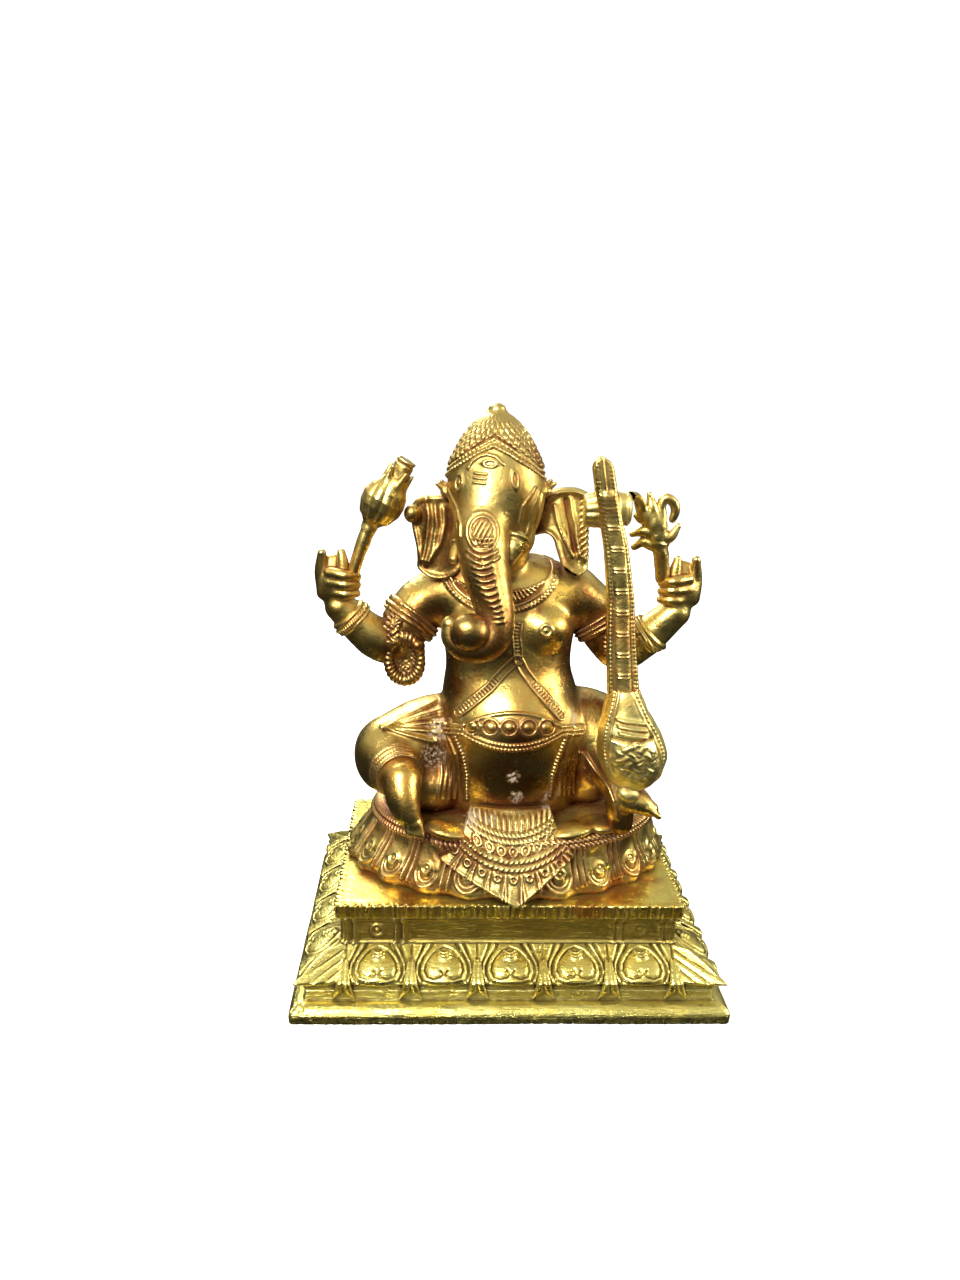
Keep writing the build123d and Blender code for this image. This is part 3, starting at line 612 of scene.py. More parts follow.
RIGHT_EAR = smooth_outline([(-14.0, 84.5), (-18.5, 84.2), (-22.5, 84.0), (-25.6, 82.8), (-27.0, 79.6),
                            (-26.4, 75.8), (-25.4, 71.3), (-25.0, 68.0), (-24.8, 65.4), (-21.5, 63.4),
                            (-17.0, 63.4), (-13.0, 66.5), (-11.5, 76.0)])
LEFT_EAR = smooth_outline([(4.5, 84.5), (9.5, 85.6), (13.0, 86.4), (16.9, 86.2), (19.7, 84.4), (19.8, 81.0),
                           (19.6, 77.2), (19.5, 73.3), (19.6, 69.4), (19.4, 65.6), (15.6, 64.4), (12.8, 66.8),
                           (11.4, 70.4), (10.4, 73.6), (8.2, 75.0), (4.0, 74.6)])


# rise, width and line of the folds drawn on each ear
RIGHT_EAR_LINES = ((0.8, 0.75, [(-22.9, 83.6), (-22.2, 79.0), (-22.6, 74.0), (-23.6, 68.0)]),
                   (0.55, 0.75, [(-20.6, 82.6), (-20.0, 77.0), (-21.0, 71.0), (-22.8, 66.6)]),
                   (0.6, 0.75, [(-18.2, 81.0), (-18.0, 77.0), (-19.2, 72.0), (-21.8, 67.6)]))
LEFT_EAR_LINES = ((0.9, 0.9, [(8.8, 84.0), (11.5, 85.6), (16.0, 85.6), (19.0, 84.4)]),
                  (0.9, 0.55, [(14.6, 84.0), (15.2, 80.5), (16.2, 77.0), (16.4, 73.6), (17.4, 69.4)]),
                  (-0.8, 0.55, [(13.4, 83.6), (13.9, 79.6), (14.9, 75.6), (16.0, 71.0)]),
                  (0.5, 0.6, [(10.6, 82.0), (11.4, 78.0), (13.0, 74.0), (15.4, 69.6)]))


def ear_slab(p, edge, dish, thick):
    """A dished leaf of metal with a rounded edge."""
    plane = np.abs(p[:, 1] - dish) - thick / 2
    flat = outline(p[:, 0], p[:, 2] - LAP, edge)
    return join_edge(plane, flat + 0.3, 0.8), flat


def right_ear(p):
    """Ear on the figure's right: lengthwise folds and a curled knob at its outer corner."""
    u, v = p[:, 0], p[:, 2] - LAP
    dish = -3.8 + 0.05 * (u + 20.5) ** 2 - 0.12 * (u + 20.5) + 0.20 * (v - 75)
    d, flat = ear_slab(p, RIGHT_EAR, dish, 3.0)
    rise = 0.7 * bump(flat + 0.5, 0.7)
    for high, width, line in RIGHT_EAR_LINES:
        rise += high * stroke(u, v, line, width)
    d = d - rise * ahead(p, -dish, 0.4)
    centre = at(-26.4, -4.4, 79.6)
    knob = egg(p, centre, (2.2, 2.2, 2.4)) - 0.2 * beads(length(p - centre), 0.8)
    return join(d, knob, 0.6) + hammered(p, 3.0, 0.12, 3.0)


def left_ear(p):
    """Ear on the figure's left: rolled top, scroll line and a notched outer edge."""
    u, v = p[:, 0], p[:, 2] - LAP
    dish = -3.6 + 0.045 * (u - 13.5) ** 2 + 0.05 * (u - 13.5) + 0.28 * (v - 76)
    d, flat = ear_slab(p, LEFT_EAR, dish, 3.0)
    rise = 0.8 * bump(flat + 0.5, 0.65)
    for high, width, line in LEFT_EAR_LINES:
        rise += high * stroke(u, v, line, width)
    edge, run = near_line(u, v, [(19.4, 83.5), (19.2, 76.0), (18.6, 69.5)])
    rise += 0.8 * beads(run + 0.8 * u, 1.55) * bump(edge - 0.6, 1.1)
    return d - rise * ahead(p, -dish, 0.4) + hammered(p, 3.0, 0.10, 5.0)


def flower(p, centre, side):
    """Small pointed bloom above an ear, where the crown's band meets it."""
    x, y, h = centre
    d = egg(p, at(x, y, h), (1.8, 1.6, 1.5))
    for lean in (-1.0, 0.1, 1.2):
        tip = (x + side * (1.4 + lean), y - 0.4, h + 3.0 - abs(lean) * 0.7, 0.5)
        d = join(d, limb(p, path([(x, y, h, 1.0), tip], 3)), 0.4)
    return d


# ---------------------------------------------------------------- figure: crown
CROWN_X, CROWN_Y = (BOXES["crown"][0][:2] + BOXES["crown"][1][:2]) / 2
# depth below the tip, radius
CROWN_PROFILE = ((0.0, 0.8), (0.7, 2.0), (1.6, 2.3), (2.4, 2.9), (3.4, 4.2), (5.2, 6.0), (7.9, 8.0),
                 (10.6, 9.6), (13.4, 11.0), (16.1, 12.0), (18.8, 12.5), (20.6, 12.4))
# bearing from the middle of the brow, depth of the headband's line below the tip
BAND_LINE = ((0, 9.6), (0.4, 11.6), (0.8, 14.5), (1.2, 17.2), (1.6, 18.7), (3.3, 18.6))
NET_CELLS = 14                         # cells of the net round the crown


def crown(p):
    """Netted cap over a double beaded headband that rises to a point above the brow, and a small knob."""
    u, w, depth = p[:, 0] - CROWN_X, p[:, 1] - CROWN_Y, TOP_Z - p[:, 2]
    out, bearing = np.hypot(u, w), np.arctan2(u, -w)
    wall = np.interp(depth, *zip(*CROWN_PROFILE))
    d = np.maximum((out - wall) * 0.82, -depth)
    band = depth - np.interp(np.abs(bearing + 0.12), *zip(*BAND_LINE))
    one, two = (np.sin(NET_CELLS * bearing + twist * depth) for twist in (1.045, -1.045))
    net = 0.62 * np.clip(wall / 8.0, 0.3, 1.0) * np.minimum(np.abs(one), np.abs(two)) ** 0.6
    net = net * step_up(-band - 2.4, 0.2) * step_up(depth - 2.9, 0.6)
    girth = bearing * wall
    trim = 0.55 * bump(band - 0.1, 0.55) * (0.35 + 0.65 * beads(girth, 1.1))
    trim += 0.45 * bump(band + 1.45, 0.5) * (0.45 + 0.55 * beads(girth + 0.4, 1.1))
    trim -= 0.22 * bump(band + 2.25, 0.3)
    return np.maximum(d - net - trim, band - 0.9) + hammered(p, 4.0, 0.05, 7.0)


# ---------------------------------------------------------------- layers that lie on the figure
def shell(base, region, rise, sink=0.6):
    """A layer on a casting, as thick as rise, within a region. It reaches sink into the casting."""
    return join_edge(np.maximum(base - rise, -base - sink), region, 0.35)


def grain(p, size):
    """Fine irregular punching, from 0 to 1."""
    x, y, z = (p / size).T
    return np.abs(np.sin(x + 1.3 * np.sin(z * 1.7)) * np.sin(z * 1.3 + 1.1 * np.sin(x * 1.6 + y)))


def collar_necklace(p):
    """Wide crescent collar on the chest and a plain ring round the back of the neck."""
    base = join(torso(p), loft(p, SKULL), 2.0)
    u, v = front(p, -14.0)
    u, v = u + 3.4, v - 69.0
    outer = (np.hypot(u / 16.2, v / 13.8) - 1) * 13.0
    inner = (1 - np.hypot(u / 13.6, v / 7.2)) * 8.0
    girth = np.arctan2(u, -v) * 12
    rise = 0.50 + 0.50 * bump(outer + 0.8, 0.5) * (0.45 + 0.55 * beads(girth, 0.95))
    rise += 0.35 * bump(outer + 2.0, 0.35) - 0.25 * bump(outer + 2.7, 0.3)
    rise += 0.50 * step_up(-outer - 3.2) * beads(girth, 1.25) + 0.40 * bump(inner + 0.5, 0.4)
    region = np.maximum(np.maximum(outer, inner), np.maximum(v - 1.8, p[:, 1] - 2.0))
    chest = shell(base, region, rise)
    ring = np.abs(np.hypot((p[:, 0] + 3.8) / 13.6, (p[:, 1] - 0.5) / 11.0) - 1) * 12 - 1.4
    ring = np.maximum(ring, np.maximum(-1.5 - p[:, 1], LAP + 50 - p[:, 2]))
    return np.minimum(chest, shell(base, ring, 0.7 + 0.2 * bump(ring + 1.4, 0.7)))


SASH_LINES = (([(2.6, 58.4), (1.3, 55), (0.7, 51.1), (1.1, 47.1), (1.4, 44.2)], False),     # hatched or not
              ([(1.4, 44.6), (3, 41.5), (5.6, 38.1), (9.1, 34), (12.9, 29.6)], True),
              ([(0.9, 44.6), (-2.2, 41.5), (-5.9, 37.2), (-9.7, 33.9), (-14, 30.2)], True))


def crossed_sash(p):
    """Cord from the collar that parts over the belly, hatched on its lower halves."""
    base = torso(p)
    u, v = front(p, -18.5)
    strips = []
    for line, hatched in SASH_LINES:
        away, run = near_line(u, v, line)
        rise = 0.45 + 0.45 * bump(away - 1.05, 0.30)
        rise += 0.45 * bump(away, 0.6) * beads(run, 0.95) * (step_up(run - 7.0, 1.0) if hatched else 0.7)
        strips.append(shell(base, np.maximum(away - 1.45, p[:, 1] + 3), rise))
    return np.minimum.reduce(strips)


def skirt_folds(p):
    """Beaded hems that run down either side of the lap."""
    base = join(join(torso(p), right_leg(p), 2.0), left_leg(p), 2.0)
    u, v = front(p, -17.0)
    hems = []
    for line in (HEM_RIGHT, HEM_LEFT):
        away, run = near_line(u, v, line)
        rise = 0.1 + 0.8 * bump(away, 0.7) * (0.6 + 0.4 * beads(run, 1.0))
        hems.append(shell(base, np.maximum(away - 1.0, p[:, 1] + 5), rise))
    return np.minimum.reduce(hems)


BELT_H = 26.1                          # middle of the belt
STUD_H = 27.4
STUDS = (-10.6, -5.8, -1.0, 4.0, 8.9)


def girdle(p):
    """Belt with five ringed studs over two cords, narrowing to a plain band at the back."""
    base = torso(p)
    u = p[:, 0]
    v = p[:, 2] - LAP + SIGHT * (np.minimum(p[:, 1], -2.0) + 21)
    forward = ahead(p, 7, 1.5)
    half = 1.8 + np.maximum(0, 3.9 - 3.7 * (u / 12.6) ** 2) * forward
    low, high = v - BELT_H + half, BELT_H + half - v
    rise = 0.55 + 0.35 * bump(high - 0.6, 0.45)
    for level in (0.7, 1.9):
        rise += 0.55 * bump(low - level, 0.42) * (0.55 + 0.45 * beads(u + 0.5 * level, 0.95)) * forward
    for x in STUDS:
        away = np.hypot(u - x, v - STUD_H)
        rise += 0.95 * np.sqrt(np.clip(1 - (away / 1.55) ** 2, 0, 1)) * forward
        rise += 0.45 * bump(away - 2.15, 0.28) * forward
    band = shell(base, -np.minimum(low, high), rise)
    return np.minimum(band, skirt_folds(p))


def cuff(p, way, low, high, rise):
    """A cuff on a limb between two lengths along its path. rise is a function of the place in the cuff."""
    base, run = along(p, way)
    across = p[:, 0] + 0.6 * p[:, 2]
    return shell(base, np.abs(run - (low + high) / 2) - (high - low) / 2, rise(run - low, across), 0.8)


def armlets(p):
    """Ridged band on each upper arm."""
    def rise(place, across):
        ridges = 0.45 * beads(place, 1.45) * (0.7 + 0.3 * beads(across, 0.9))
        return 0.75 + ridges + 0.3 * bump(place - 2.2, 0.5)
    return np.minimum(cuff(p, RIGHT_ARM, 9.6, 14.0, rise), cuff(p, LEFT_ARM, 9.0, 13.4, rise))


def bracelets(p):
    """Notched bracelet on each wrist."""
    def rise(place, across):
        tooth = 0.75 * bump(place - 1.6, 0.55) * (0.35 + 0.65 * beads(across, 0.85))
        return 0.5 + tooth + 0.4 * bump(place - 3.0, 0.35) + 0.3 * bump(place - 0.5, 0.3)
    return np.minimum(cuff(p, RIGHT_ARM, 31.2, 34.9, rise), cuff(p, LEFT_ARM, 27.2, 30.9, rise))


def right_anklet(p):
    """Stack of rings on the bare ankle."""
    def rise(place, across):
        return 0.45 + 0.5 * beads(place, 1.2) * (0.8 + 0.2 * beads(across, 0.9))
    return cuff(p, np.vstack((RIGHT_SHIN, RIGHT_FOOT[1:])), 5.4, 9.6, rise)


def scarf_loop(p, centre, half, rim, seed):
    """A fold of scarf hanging at the elbow: a dished leaf with a lumpy rim."""
    q = p - at(*centre)
    around = np.arctan2(q[:, 0] / half[0], q[:, 2] / half[1])
    away = (np.hypot(q[:, 0] / half[0], q[:, 2] / half[1]) - 1) * (half[0] + half[1]) / 2
    lumps = rim + 0.30 * beads(around * 5.0, 1.15) + 0.2 * np.sin(3 * around + seed)
    edge = np.hypot(away, q[:, 1]) - lumps
    hollow = np.maximum(np.abs(q[:, 1] - 0.9 - 0.05 * away ** 2) - 0.75, away)
    d = join(edge, hollow + 0.25 * grain(p + seed, 0.55), 0.7)
    rng = np.random.default_rng(int(seed * 10))
    for angle in rng.uniform(-1.4, 1.4, 6):
        x, h = centre[0] + half[0] * math.sin(angle) * 1.02, centre[2] + half[1] * math.cos(angle) * 1.05
        d = join(d, ball(p, at(x, centre[1] + rng.uniform(-1.2, 1.5), h), rng.uniform(1.1, 1.7)), 0.6)
    return d


def scarf_loops(p):
    """The scarf's loop at each elbow, with a tail running back up to the arm."""
    right = scarf_loop(p, (-28.2, -7.6, 41.2), (4.3, 5.9), 1.25, 1.3)
    tail = path([(-31.6, -6.6, 46.4, 2.2), (-31.0, -6.4, 50.0, 2.4), (-28.4, -5.2, 53.6, 2.0)])
    right = join(right, limb(p, tail) - 0.6 * grain(p, 0.8), 1.0)
    left = scarf_loop(p, (30.0, -7.0, 46.0), (4.6, 4.6), 1.3, 2.6)
    tail = path([(26.6, -5.5, 48.6, 1.6), (25.0, -4.8, 51.6, 1.6), (24.4, -4.4, 54.6, 1.3)])
    left = join(left, limb(p, tail) - 0.3 * grain(p, 0.6), 1.0)
    return np.minimum(right, left)


# ---------------------------------------------------------------- what the hands hold
BUD_AXIS = np.array((0.50, -0.05, 0.86), np.float32) / 0.996
# length along the axis from the middle of the bud, radius
BUD_PROFILE = ((-8.0, 1.7), (-6.4, 2.3), (-4.4, 4.0), (-1.6, 5.1), (1.0, 5.3), (3.6, 4.6), (6.0, 3.2),
               (7.6, 2.3))


def lotus_bud(p):
    """Grooved bud on a stem, with pointed sepals and the cut end of a stalk."""
    centre = at(-34.0, -5.4, 82.6)
    q = p - centre
    t = q @ BUD_AXIS
    side = np.cross(BUD_AXIS, (0, 1, 0)).astype(np.float32)
    ang = np.arctan2(q @ side, q[:, 1])
    out = length(q - t[:, None] * BUD_AXIS)
    wall = np.interp(t, *zip(*BUD_PROFILE))
    bulb = (out - wall) * 0.85 - 0.30 * np.abs(np.sin(5 * ang + 0.22 * t)) * step_up(t + 5)
    bulb = np.maximum(bulb, np.abs(t + 0.2) - 7.6)
    stem = path([(-42.0, -6.8, 63.0, 1.6), (-40.2, -6.4, 69.0, 1.7), (-37.8, -5.8, 75.4, 1.9)])
    d = join(bulb, limb(p, stem), 1.2)
    stalk = np.maximum(out - 2.45 + 0.15 * np.sin(5 * ang), np.abs(t - 9.3) - 3.3)
    groove = 0.35 * bump(t - 11.6, 0.25)
    d = join(d, stalk + groove, 0.4)
    for sepal in range(5):
        a = sepal * 1.257 + 0.5
        lean = math.cos(a) * side + math.sin(a) * np.array((0, 1, 0), np.float32)
        root, tip = centre + BUD_AXIS * 5.2 + lean * 2.6, centre + BUD_AXIS * 9.6 + lean * 3.4
        way = np.array([(*root, 1.3), (*tip, 0.35)], np.float32)
        d = join(d, limb(p, way), 0.5)
    return d + hammered(p, 2.5, 0.07, 2.0)


# across, up and radius along each leaf and hook of the goad's head
GOAD_BLADES = (
    ((36.8, 75.4, 2.2), (35.2, 78.4, 2.0), (33.0, 81.6, 1.7), (31.2, 84.4, 0.9)),
    ((36.8, 75.4, 2.2), (36.3, 79.4, 2.0), (35.2, 82.8, 1.5), (34.4, 86.0, 0.7)),
    ((37.2, 75.4, 2.2), (37.8, 79.4, 1.8), (37.6, 82.6, 1.3), (38.6, 84.9, 1.2), (40.6, 84.0, 1.3),
     (41.4, 81.8, 1.2), (40.8, 79.6, 1.0)),
    ((36.8, 74.6, 2.2), (33.8, 76.4, 1.7), (30.6, 75.6, 0.9)),
    ((36.6, 73.0, 2.0), (33.4, 73.6, 1.4), (31.2, 72.2, 0.8)),
    ((37.6, 74.0, 2.0), (40.6, 75.2, 1.5), (42.4, 77.8, 0.8)),
    ((35.4, 80.0, 1.5), (33.0, 79.4, 1.3), (31.4, 80.4, 0.8)),
)


def goad(p):
    """Goad with a curled, leafy head, tied by a scroll to the lute's gourd."""
    y = -7.2
    d = limb(p, path([(39.4, y + 0.6, 64.0, 1.9), (38.6, y, 69.5, 2.0), (37.2, y, 75.0, 2.4)]))
    for blade in GOAD_BLADES:
        way = path([(x, y - 0.3, h, r) for x, h, r in blade])
        d = join(d, limb(p, way), 0.5)
    scroll = path([(27.6, -15.5, 86.4, 1.2), (30.0, -12.0, 86.2, 1.1), (32.0, -9.0, 84.0, 1.1),
                   (33.6, y, 80.8, 1.2)])
    collar = egg(p, at(37.6, y, 73.4), (2.9, 2.6, 1.1), (0, 12, 0))
    return join(join(d, limb(p, scroll), 0.5), collar, 0.5) + hammered(p, 2.0, 0.10, 4.0)


# the neck's middle and width at a few heights
NECK_H = (33.0, 41.3, 51.7, 62.0, 74.6, 82.0, 88.0, 97.0)
NECK_X = (27.6, 27.1, 26.4, 26.0, 24.4, 22.7, 21.4, 19.9)
NECK_Y = (-27.0, -25.4, -23.6, -22.0, -20.6, -20.0, -19.8, -19.6)
NECK_W = (8.2, 7.8, 7.2, 6.6, 6.0, 5.6, 5.3, 5.0)


def veena_neck(p):
    """Neck of the lute: beaded edges, a raised fingerboard with paired frets, and a tongue at the top."""
    h = p[:, 2] - LAP
    u = p[:, 0] - np.interp(h, NECK_H, NECK_X)
    v = p[:, 1] - np.interp(h, NECK_H, NECK_Y)
    half = np.interp(h, NECK_H, NECK_W) / 2
    end = np.maximum(h - 93.4, 0)
    width = half - 0.7 - end ** 2 * 0.19
    d = np.hypot(np.maximum(np.abs(u) - width, 0), np.maximum(np.abs(v) - 1.1, 0)) - 0.7
    d = d + np.minimum(np.maximum(np.abs(u) - width, np.abs(v) - 1.1), 0)
    d = np.maximum(np.maximum(d, 38.4 - h), h - 96.6)
    facing = step_up(-v - 0.5, 0.4)
    border = 0.32 * bump(np.abs(u) - half + 0.75, 0.5) * (0.7 + 0.3 * beads(h, 1.0))
    board = 0.85 * np.sqrt(np.clip(1 - (u / 2.0) ** 2, 0, 1)) * step_up(88 - h, 0.5)
    fret = np.minimum(np.abs((h + 1.0) % 5.2 - 2.2), np.abs((h + 1.0) % 5.2 - 3.0))
    frets = 0.30 * bump(fret, 0.22) * step_up(1.4 - np.abs(u), 0.2) * step_up(84 - h, 0.5)
    line = 0.3 * bump(u + 0.2, 0.35) * step_up(h - 88, 0.5)
    return d - facing * (border + board + frets + line) + hammered(p, 3.0, 0.05, 3.0)


BOWL = rows_table([
    (31.2, -26.4, 12.6, 1.5, 1.2), (31.1, -26.4, 13.6, 3.9, 3.4), (31.0, -26.4, 15.8, 6.3, 5.0),
    (30.6, -26.4, 19.2, 8.1, 6.6), (30.2, -26.4, 23.7, 8.9, 7.2), (29.3, -26.5, 28.2, 8.1, 6.4),
    (28.2, -26.5, 33.8, 6.0, 4.6), (27.6, -26.3, 38.5, 4.4, 3.0), (27.4, -26.0, 40.0, 4.1, 2.4),
])


def veena_bowl(p):
    """Bowl of the lute: a rimmed belly with three bars, a groove, a punched plate and a small foot."""
    h = p[:, 2] - LAP
    u = p[:, 0] - np.interp(p[:, 2], BOWL[:, 2], BOWL[:, 0])
    half = np.interp(p[:, 2], BOWL[:, 2], BOWL[:, 3])
    d = np.maximum(loft(p, BOWL) * 0.9, np.maximum(12.8 - h, h - 39.4))
    facing = ahead(p, 27.4, 0.6)
    edge = np.abs(u) - half
    rise = 0.50 * bump(edge + 1.3, 0.45) * (0.7 + 0.3 * beads(h, 1.0)) * step_up(h - 17.0, 1.0)
    rise += 0.35 * bump(edge + 2.4, 0.3) * step_up(h - 19.0, 1.0)
    for level in (32.6, 31.0, 29.4):
        rise += 0.60 * bump(h - level + 0.16 * (u - 0.5), 0.42) * step_up(3.6 - np.abs(u - 0.5), 0.2)
    rise -= 0.60 * bump(h - 27.8 - 0.02 * u ** 2, 0.45) * step_up(5.4 - np.abs(u), 0.2)
    plate = step_up(6.0 - np.hypot(u, h - 22.0), 0.6)
    rise += plate * (0.24 + 0.30 * grain(p, 1.1))
    d = d - facing * rise
    foot = egg(p, at(29.6, -29.0, 12.4), (3.0, 2.4, 2.0), (0, 16, 0))
    return join(d, foot, 0.6) + hammered(p, 2.4, 0.16, 1.0)


def veena_gourd(p):
    """Small resonator set across the neck: a barrel, fluted on the inner half."""
    x = p[:, 0]
    up, back = p[:, 2] - LAP - 83.4 - 0.06 * (x - 22), p[:, 1] + 17.6
    wall = 3.9 - 0.018 * (x - 22.5) ** 2
    flutes = 0.40 * np.abs(np.sin(4.5 * np.arctan2(up, -back))) * step_up(20.0 - x, 0.4)
    d = join_edge(np.hypot(up / 1.1, back / 0.95) - wall - flutes, np.abs(x - 22.3) - 5.9, 0.9)
    rims = 0.35 * sum(bump(x - rim, 0.4) for rim in (20.6, 24.6, 27.2))
    return d - rims + hammered(p, 2.5, 0.08, 2.0)


# ---------------------------------------------------------------- seat
SEAT = rows_table([
    (0.0, 0.0, -17.6, 43.2, 31.2), (0.0, 0.0, -15.4, 44.0, 32.2), (0.4, 0.0, -12.6, 42.6, 31.2),
    (0.8, 0.0, -9.6, 40.6, 30.0), (1.4, 0.0, -6.6, 38.9, 29.0), (2.0, 0.0, -3.6, 37.9, 28.5),
    (2.5, 0.0, -1.2, 36.8, 27.8), (2.5, 0.0, 0.6, 33.5, 25.0),
])
# places, half axes and turns of the folds of cloth that lie on the cushion
SEAT_FOLDS = (((16.0, -24.0, -0.2), (6.4, 4.2, 2.1), (0, -8, 14)),
              ((-16.8, -24.2, -0.2), (6.0, 4.2, 2.0), (0, 10, -14)),
              ((24.0, -20.5, 0.0), (5.0, 5.0, 2.0), (0, 0, 20)),
              ((-24.0, -19.5, -0.6), (5.0, 5.0, 2.0), (0, 0, -20)))
SEAT_HALF = (42.0, 31.0)               # half width and half depth at the hem
SEAT_R = 37.0                          # mean of the two, which turns a bearing into a length
SKIRT_PETALS = 22
TENON_R = 6.0
TENON_LOW = BOXES["lotus_seat"][0][2]


def round_seat(p):
    """Length along the seat's rim from the front."""
    return SEAT_R * np.arctan2((p[:, 0] - 1.0) / SEAT_HALF[0], -p[:, 1] / SEAT_HALF[1])


def petal_relief(cell, h):
    """One hanging petal: a round-ended panel, a ringed boss over nested arcs, and a bar on each side."""
    low = np.minimum(h + 11.2, 0)
    side = np.hypot(cell, low) - 3.45
    rise = 1.1 * step_up(-side, 0.3)
    arcs = 0.55 * (bump(side + 0.8, 0.34) + bump(side + 1.75, 0.34)) * step_up(-10.6 - h, 0.4)
    boss = np.hypot(cell, h + 9.9)
    rise += 0.50 * bump(boss - 1.2, 0.36) + 0.35 * bump(boss, 0.4) - arcs
    rise += 1.25 * bump(np.abs(cell) - 4.45, 0.55) * step_up(h + 14.6, 0.5)
    return rise * step_up(-3.4 - h, 0.4)


def lotus_seat(p):
    """Oval cushion over a skirt of round-ended petals, with a tenon below."""
    girth, h = round_seat(p), p[:, 2] - LAP
    pitch = SEAT_R * 2 * math.pi / SKIRT_PETALS
    cell = within_cell(girth + 0.35 * np.sin(girth * 3.0 / SEAT_R + 1.0), pitch)
    hem = 1.3 * np.cos(2 * math.pi * girth / pitch) * step_up(-14.2 - h, 0.6)
    gathers = 0.45 * beads(girth + 0.8 * h, 2.6) * bump(h + 1.3, 0.9)
    d = loft(p, SEAT) - petal_relief(cell, h) - 0.6 * hem - gathers
    d = np.maximum(d, SEAT_Z - p[:, 2])
    d = d + hammered(p, 5.0, 0.22, 2.0) + hammered(p, 1.7, 0.07, 5.0)
    for place, axes, turn in SEAT_FOLDS:
        d = join(d, egg(p, at(*place), axes, turn), 0.9)
    tenon = np.maximum(np.hypot(p[:, 0], p[:, 1]) - TENON_R, TENON_LOW - p[:, 2])
    return np.minimum(d, np.maximum(tenon, p[:, 2] - SEAT_Z - 1))


def seat_cord(p):
    """Twin beaded cords round the seat, just under the cushion."""
    base = loft(p, SEAT)
    girth, h = round_seat(p), p[:, 2] - LAP
    rings = [np.hypot(base - 1.1, h - level) - 0.55 - 0.45 * beads(girth + shift + 0.5 * h, 1.35)
             for level, shift in ((-1.7, 0.0), (-3.3, 0.5))]
    band = np.maximum(np.abs(base - 0.4) - 0.7, np.abs(h + 2.5) - 1.7)
    return join(np.minimum(*rings), band, 0.25)


# ---------------------------------------------------------------- cloth over the front of the seat
APRON_ROWS = rows_table([(1.0, -1.0, *row) for row in (
    (-16.5, 44.6, 35.6), (-13.0, 43.2, 34.2), (-10.0, 41.0, 32.6), (-4.0, 36.5, 29.8),
    (0.0, 33.0, 27.0), (3.0, 29.0, 24.4), (7.0, 24.0, 20.5))])
APRON_EDGE = [(-10.5, 5.4), (-11.9, 1.5), (-13.0, -1.5), (-14.0, -3.6), (-19.1, -6.0), (-12.0, -9.6),
              (-5.0, -12.8), (1.5, -15.8), (7.0, -11.8), (12.5, -7.9), (16.4, -4.9), (14.8, -2.6),
              (13.2, -0.5), (11.8, 2.0), (10.4, 5.4)]
FAN_H = 13.5                           # the fan's petals spread from this height
FAN_STEP = 10.4                        # degrees from petal to petal
DEGREE = 0.0175                        # a degree in radians, rounded


def cord(across, run, radius, pitch):
    """Rise of a twisted cord, given the distance across it and the length along it."""
    round_back = np.sqrt(np.clip(1 - (across / radius) ** 2, 0, 1))
    return 1.15 * radius * round_back * (0.62 + 0.38 * beads(run, pitch))


def apron_relief(p):
    """Pleats, cords, a row of rings and a fan of petals, from the top of the cloth down."""
    u, h = p[:, 0] - 0.5, p[:, 2] - LAP
    s = h - u ** 2 / 40
    rise = 0.60 * beads(u * (1 - 0.015 * s), 1.5) * step_up(s - 1.0, 0.2) * step_up(3.9 - s, 0.3)
    rise += cord(s - 0.2, u + 0.6 * s, 0.75, 1.15) + cord(s + 1.2, u + 0.6 * s, 0.7, 1.15)
    ring = np.hypot(within_cell(u, 3.1), s + 3.15)
    rise += (0.55 * bump(ring - 1.0, 0.36) + 0.30 * bump(ring, 0.4)) * step_up(10.9 - np.abs(u), 0.2)
    rise += cord(s + 5.3, u - 0.7 * s, 0.9, 1.35) + cord(s + 7.1, u - 0.7 * s, 0.9, 1.35)
    bearing, depth = np.degrees(np.arctan2(u, FAN_H - h)), np.hypot(u, FAN_H - h)
    lobe = within_cell(bearing, FAN_STEP) * depth * DEGREE
    fan = step_up(-8.1 - s, 0.2)
    rise += fan * (0.55 * step_up(1.35 - np.abs(lobe), 0.22) + 0.85 * bump(np.abs(lobe) - 2.0, 0.42))
    eye = np.hypot(lobe, depth - 22.8)
    rise += fan * (0.35 * bump(eye - 0.8, 0.3) - 0.3 * bump(eye, 0.4))
    return 0.45 + rise


def seat_apron(p):
    """Cloth panel that hangs from the lap over the seat and ends in a point."""
    base = loft(p, APRON_ROWS)
    edge = outline(p[:, 0], p[:, 2] - LAP, APRON_EDGE)
    region = np.maximum(edge, p[:, 1] + 8)
    rise = apron_relief(p) + 0.5 * bump(edge + 0.5, 0.5) * step_up(-6.5 - (p[:, 2] - LAP), 0.5)
    panel = join_edge(np.maximum(base - rise, -base - 1.5), region, 0.35)
    return np.maximum(panel, SEAT_Z + 0.1 - p[:, 2])


# ---------------------------------------------------------------- pedestal
PLAN = np.array(BOXES["plinth_slab"][1][:2])         # half width and half depth of the plinth
PLINTH_TOP = BOXES["plinth_slab"][1][2]
MOULD_TOP = BOXES["lotus_moulding"][1][2]
DADO_TOP = BOXES["dado_block"][1][2]
DADO_IN = PLAN[0] - BOXES["dado_block"][1][0] + 0.6  # plinth's edge to the dado's plain face
CAP_IN = PLAN[0] - BOXES["cap_slab"][1][0]           # to the cap's edge
MOULD_IN = PLAN[0] - BOXES["lotus_moulding"][1][0]   # to the moulding's lip
WALL = 3.0                                           # thickness round the hollow
PITCH = 17.0                                         # from petal to petal of the moulding
PLINTH_FOOT = 1.9                                    # height of the plinth's upright foot
ROLL = (3.9, 2.7)                                    # how far in and how far up its nose rolls


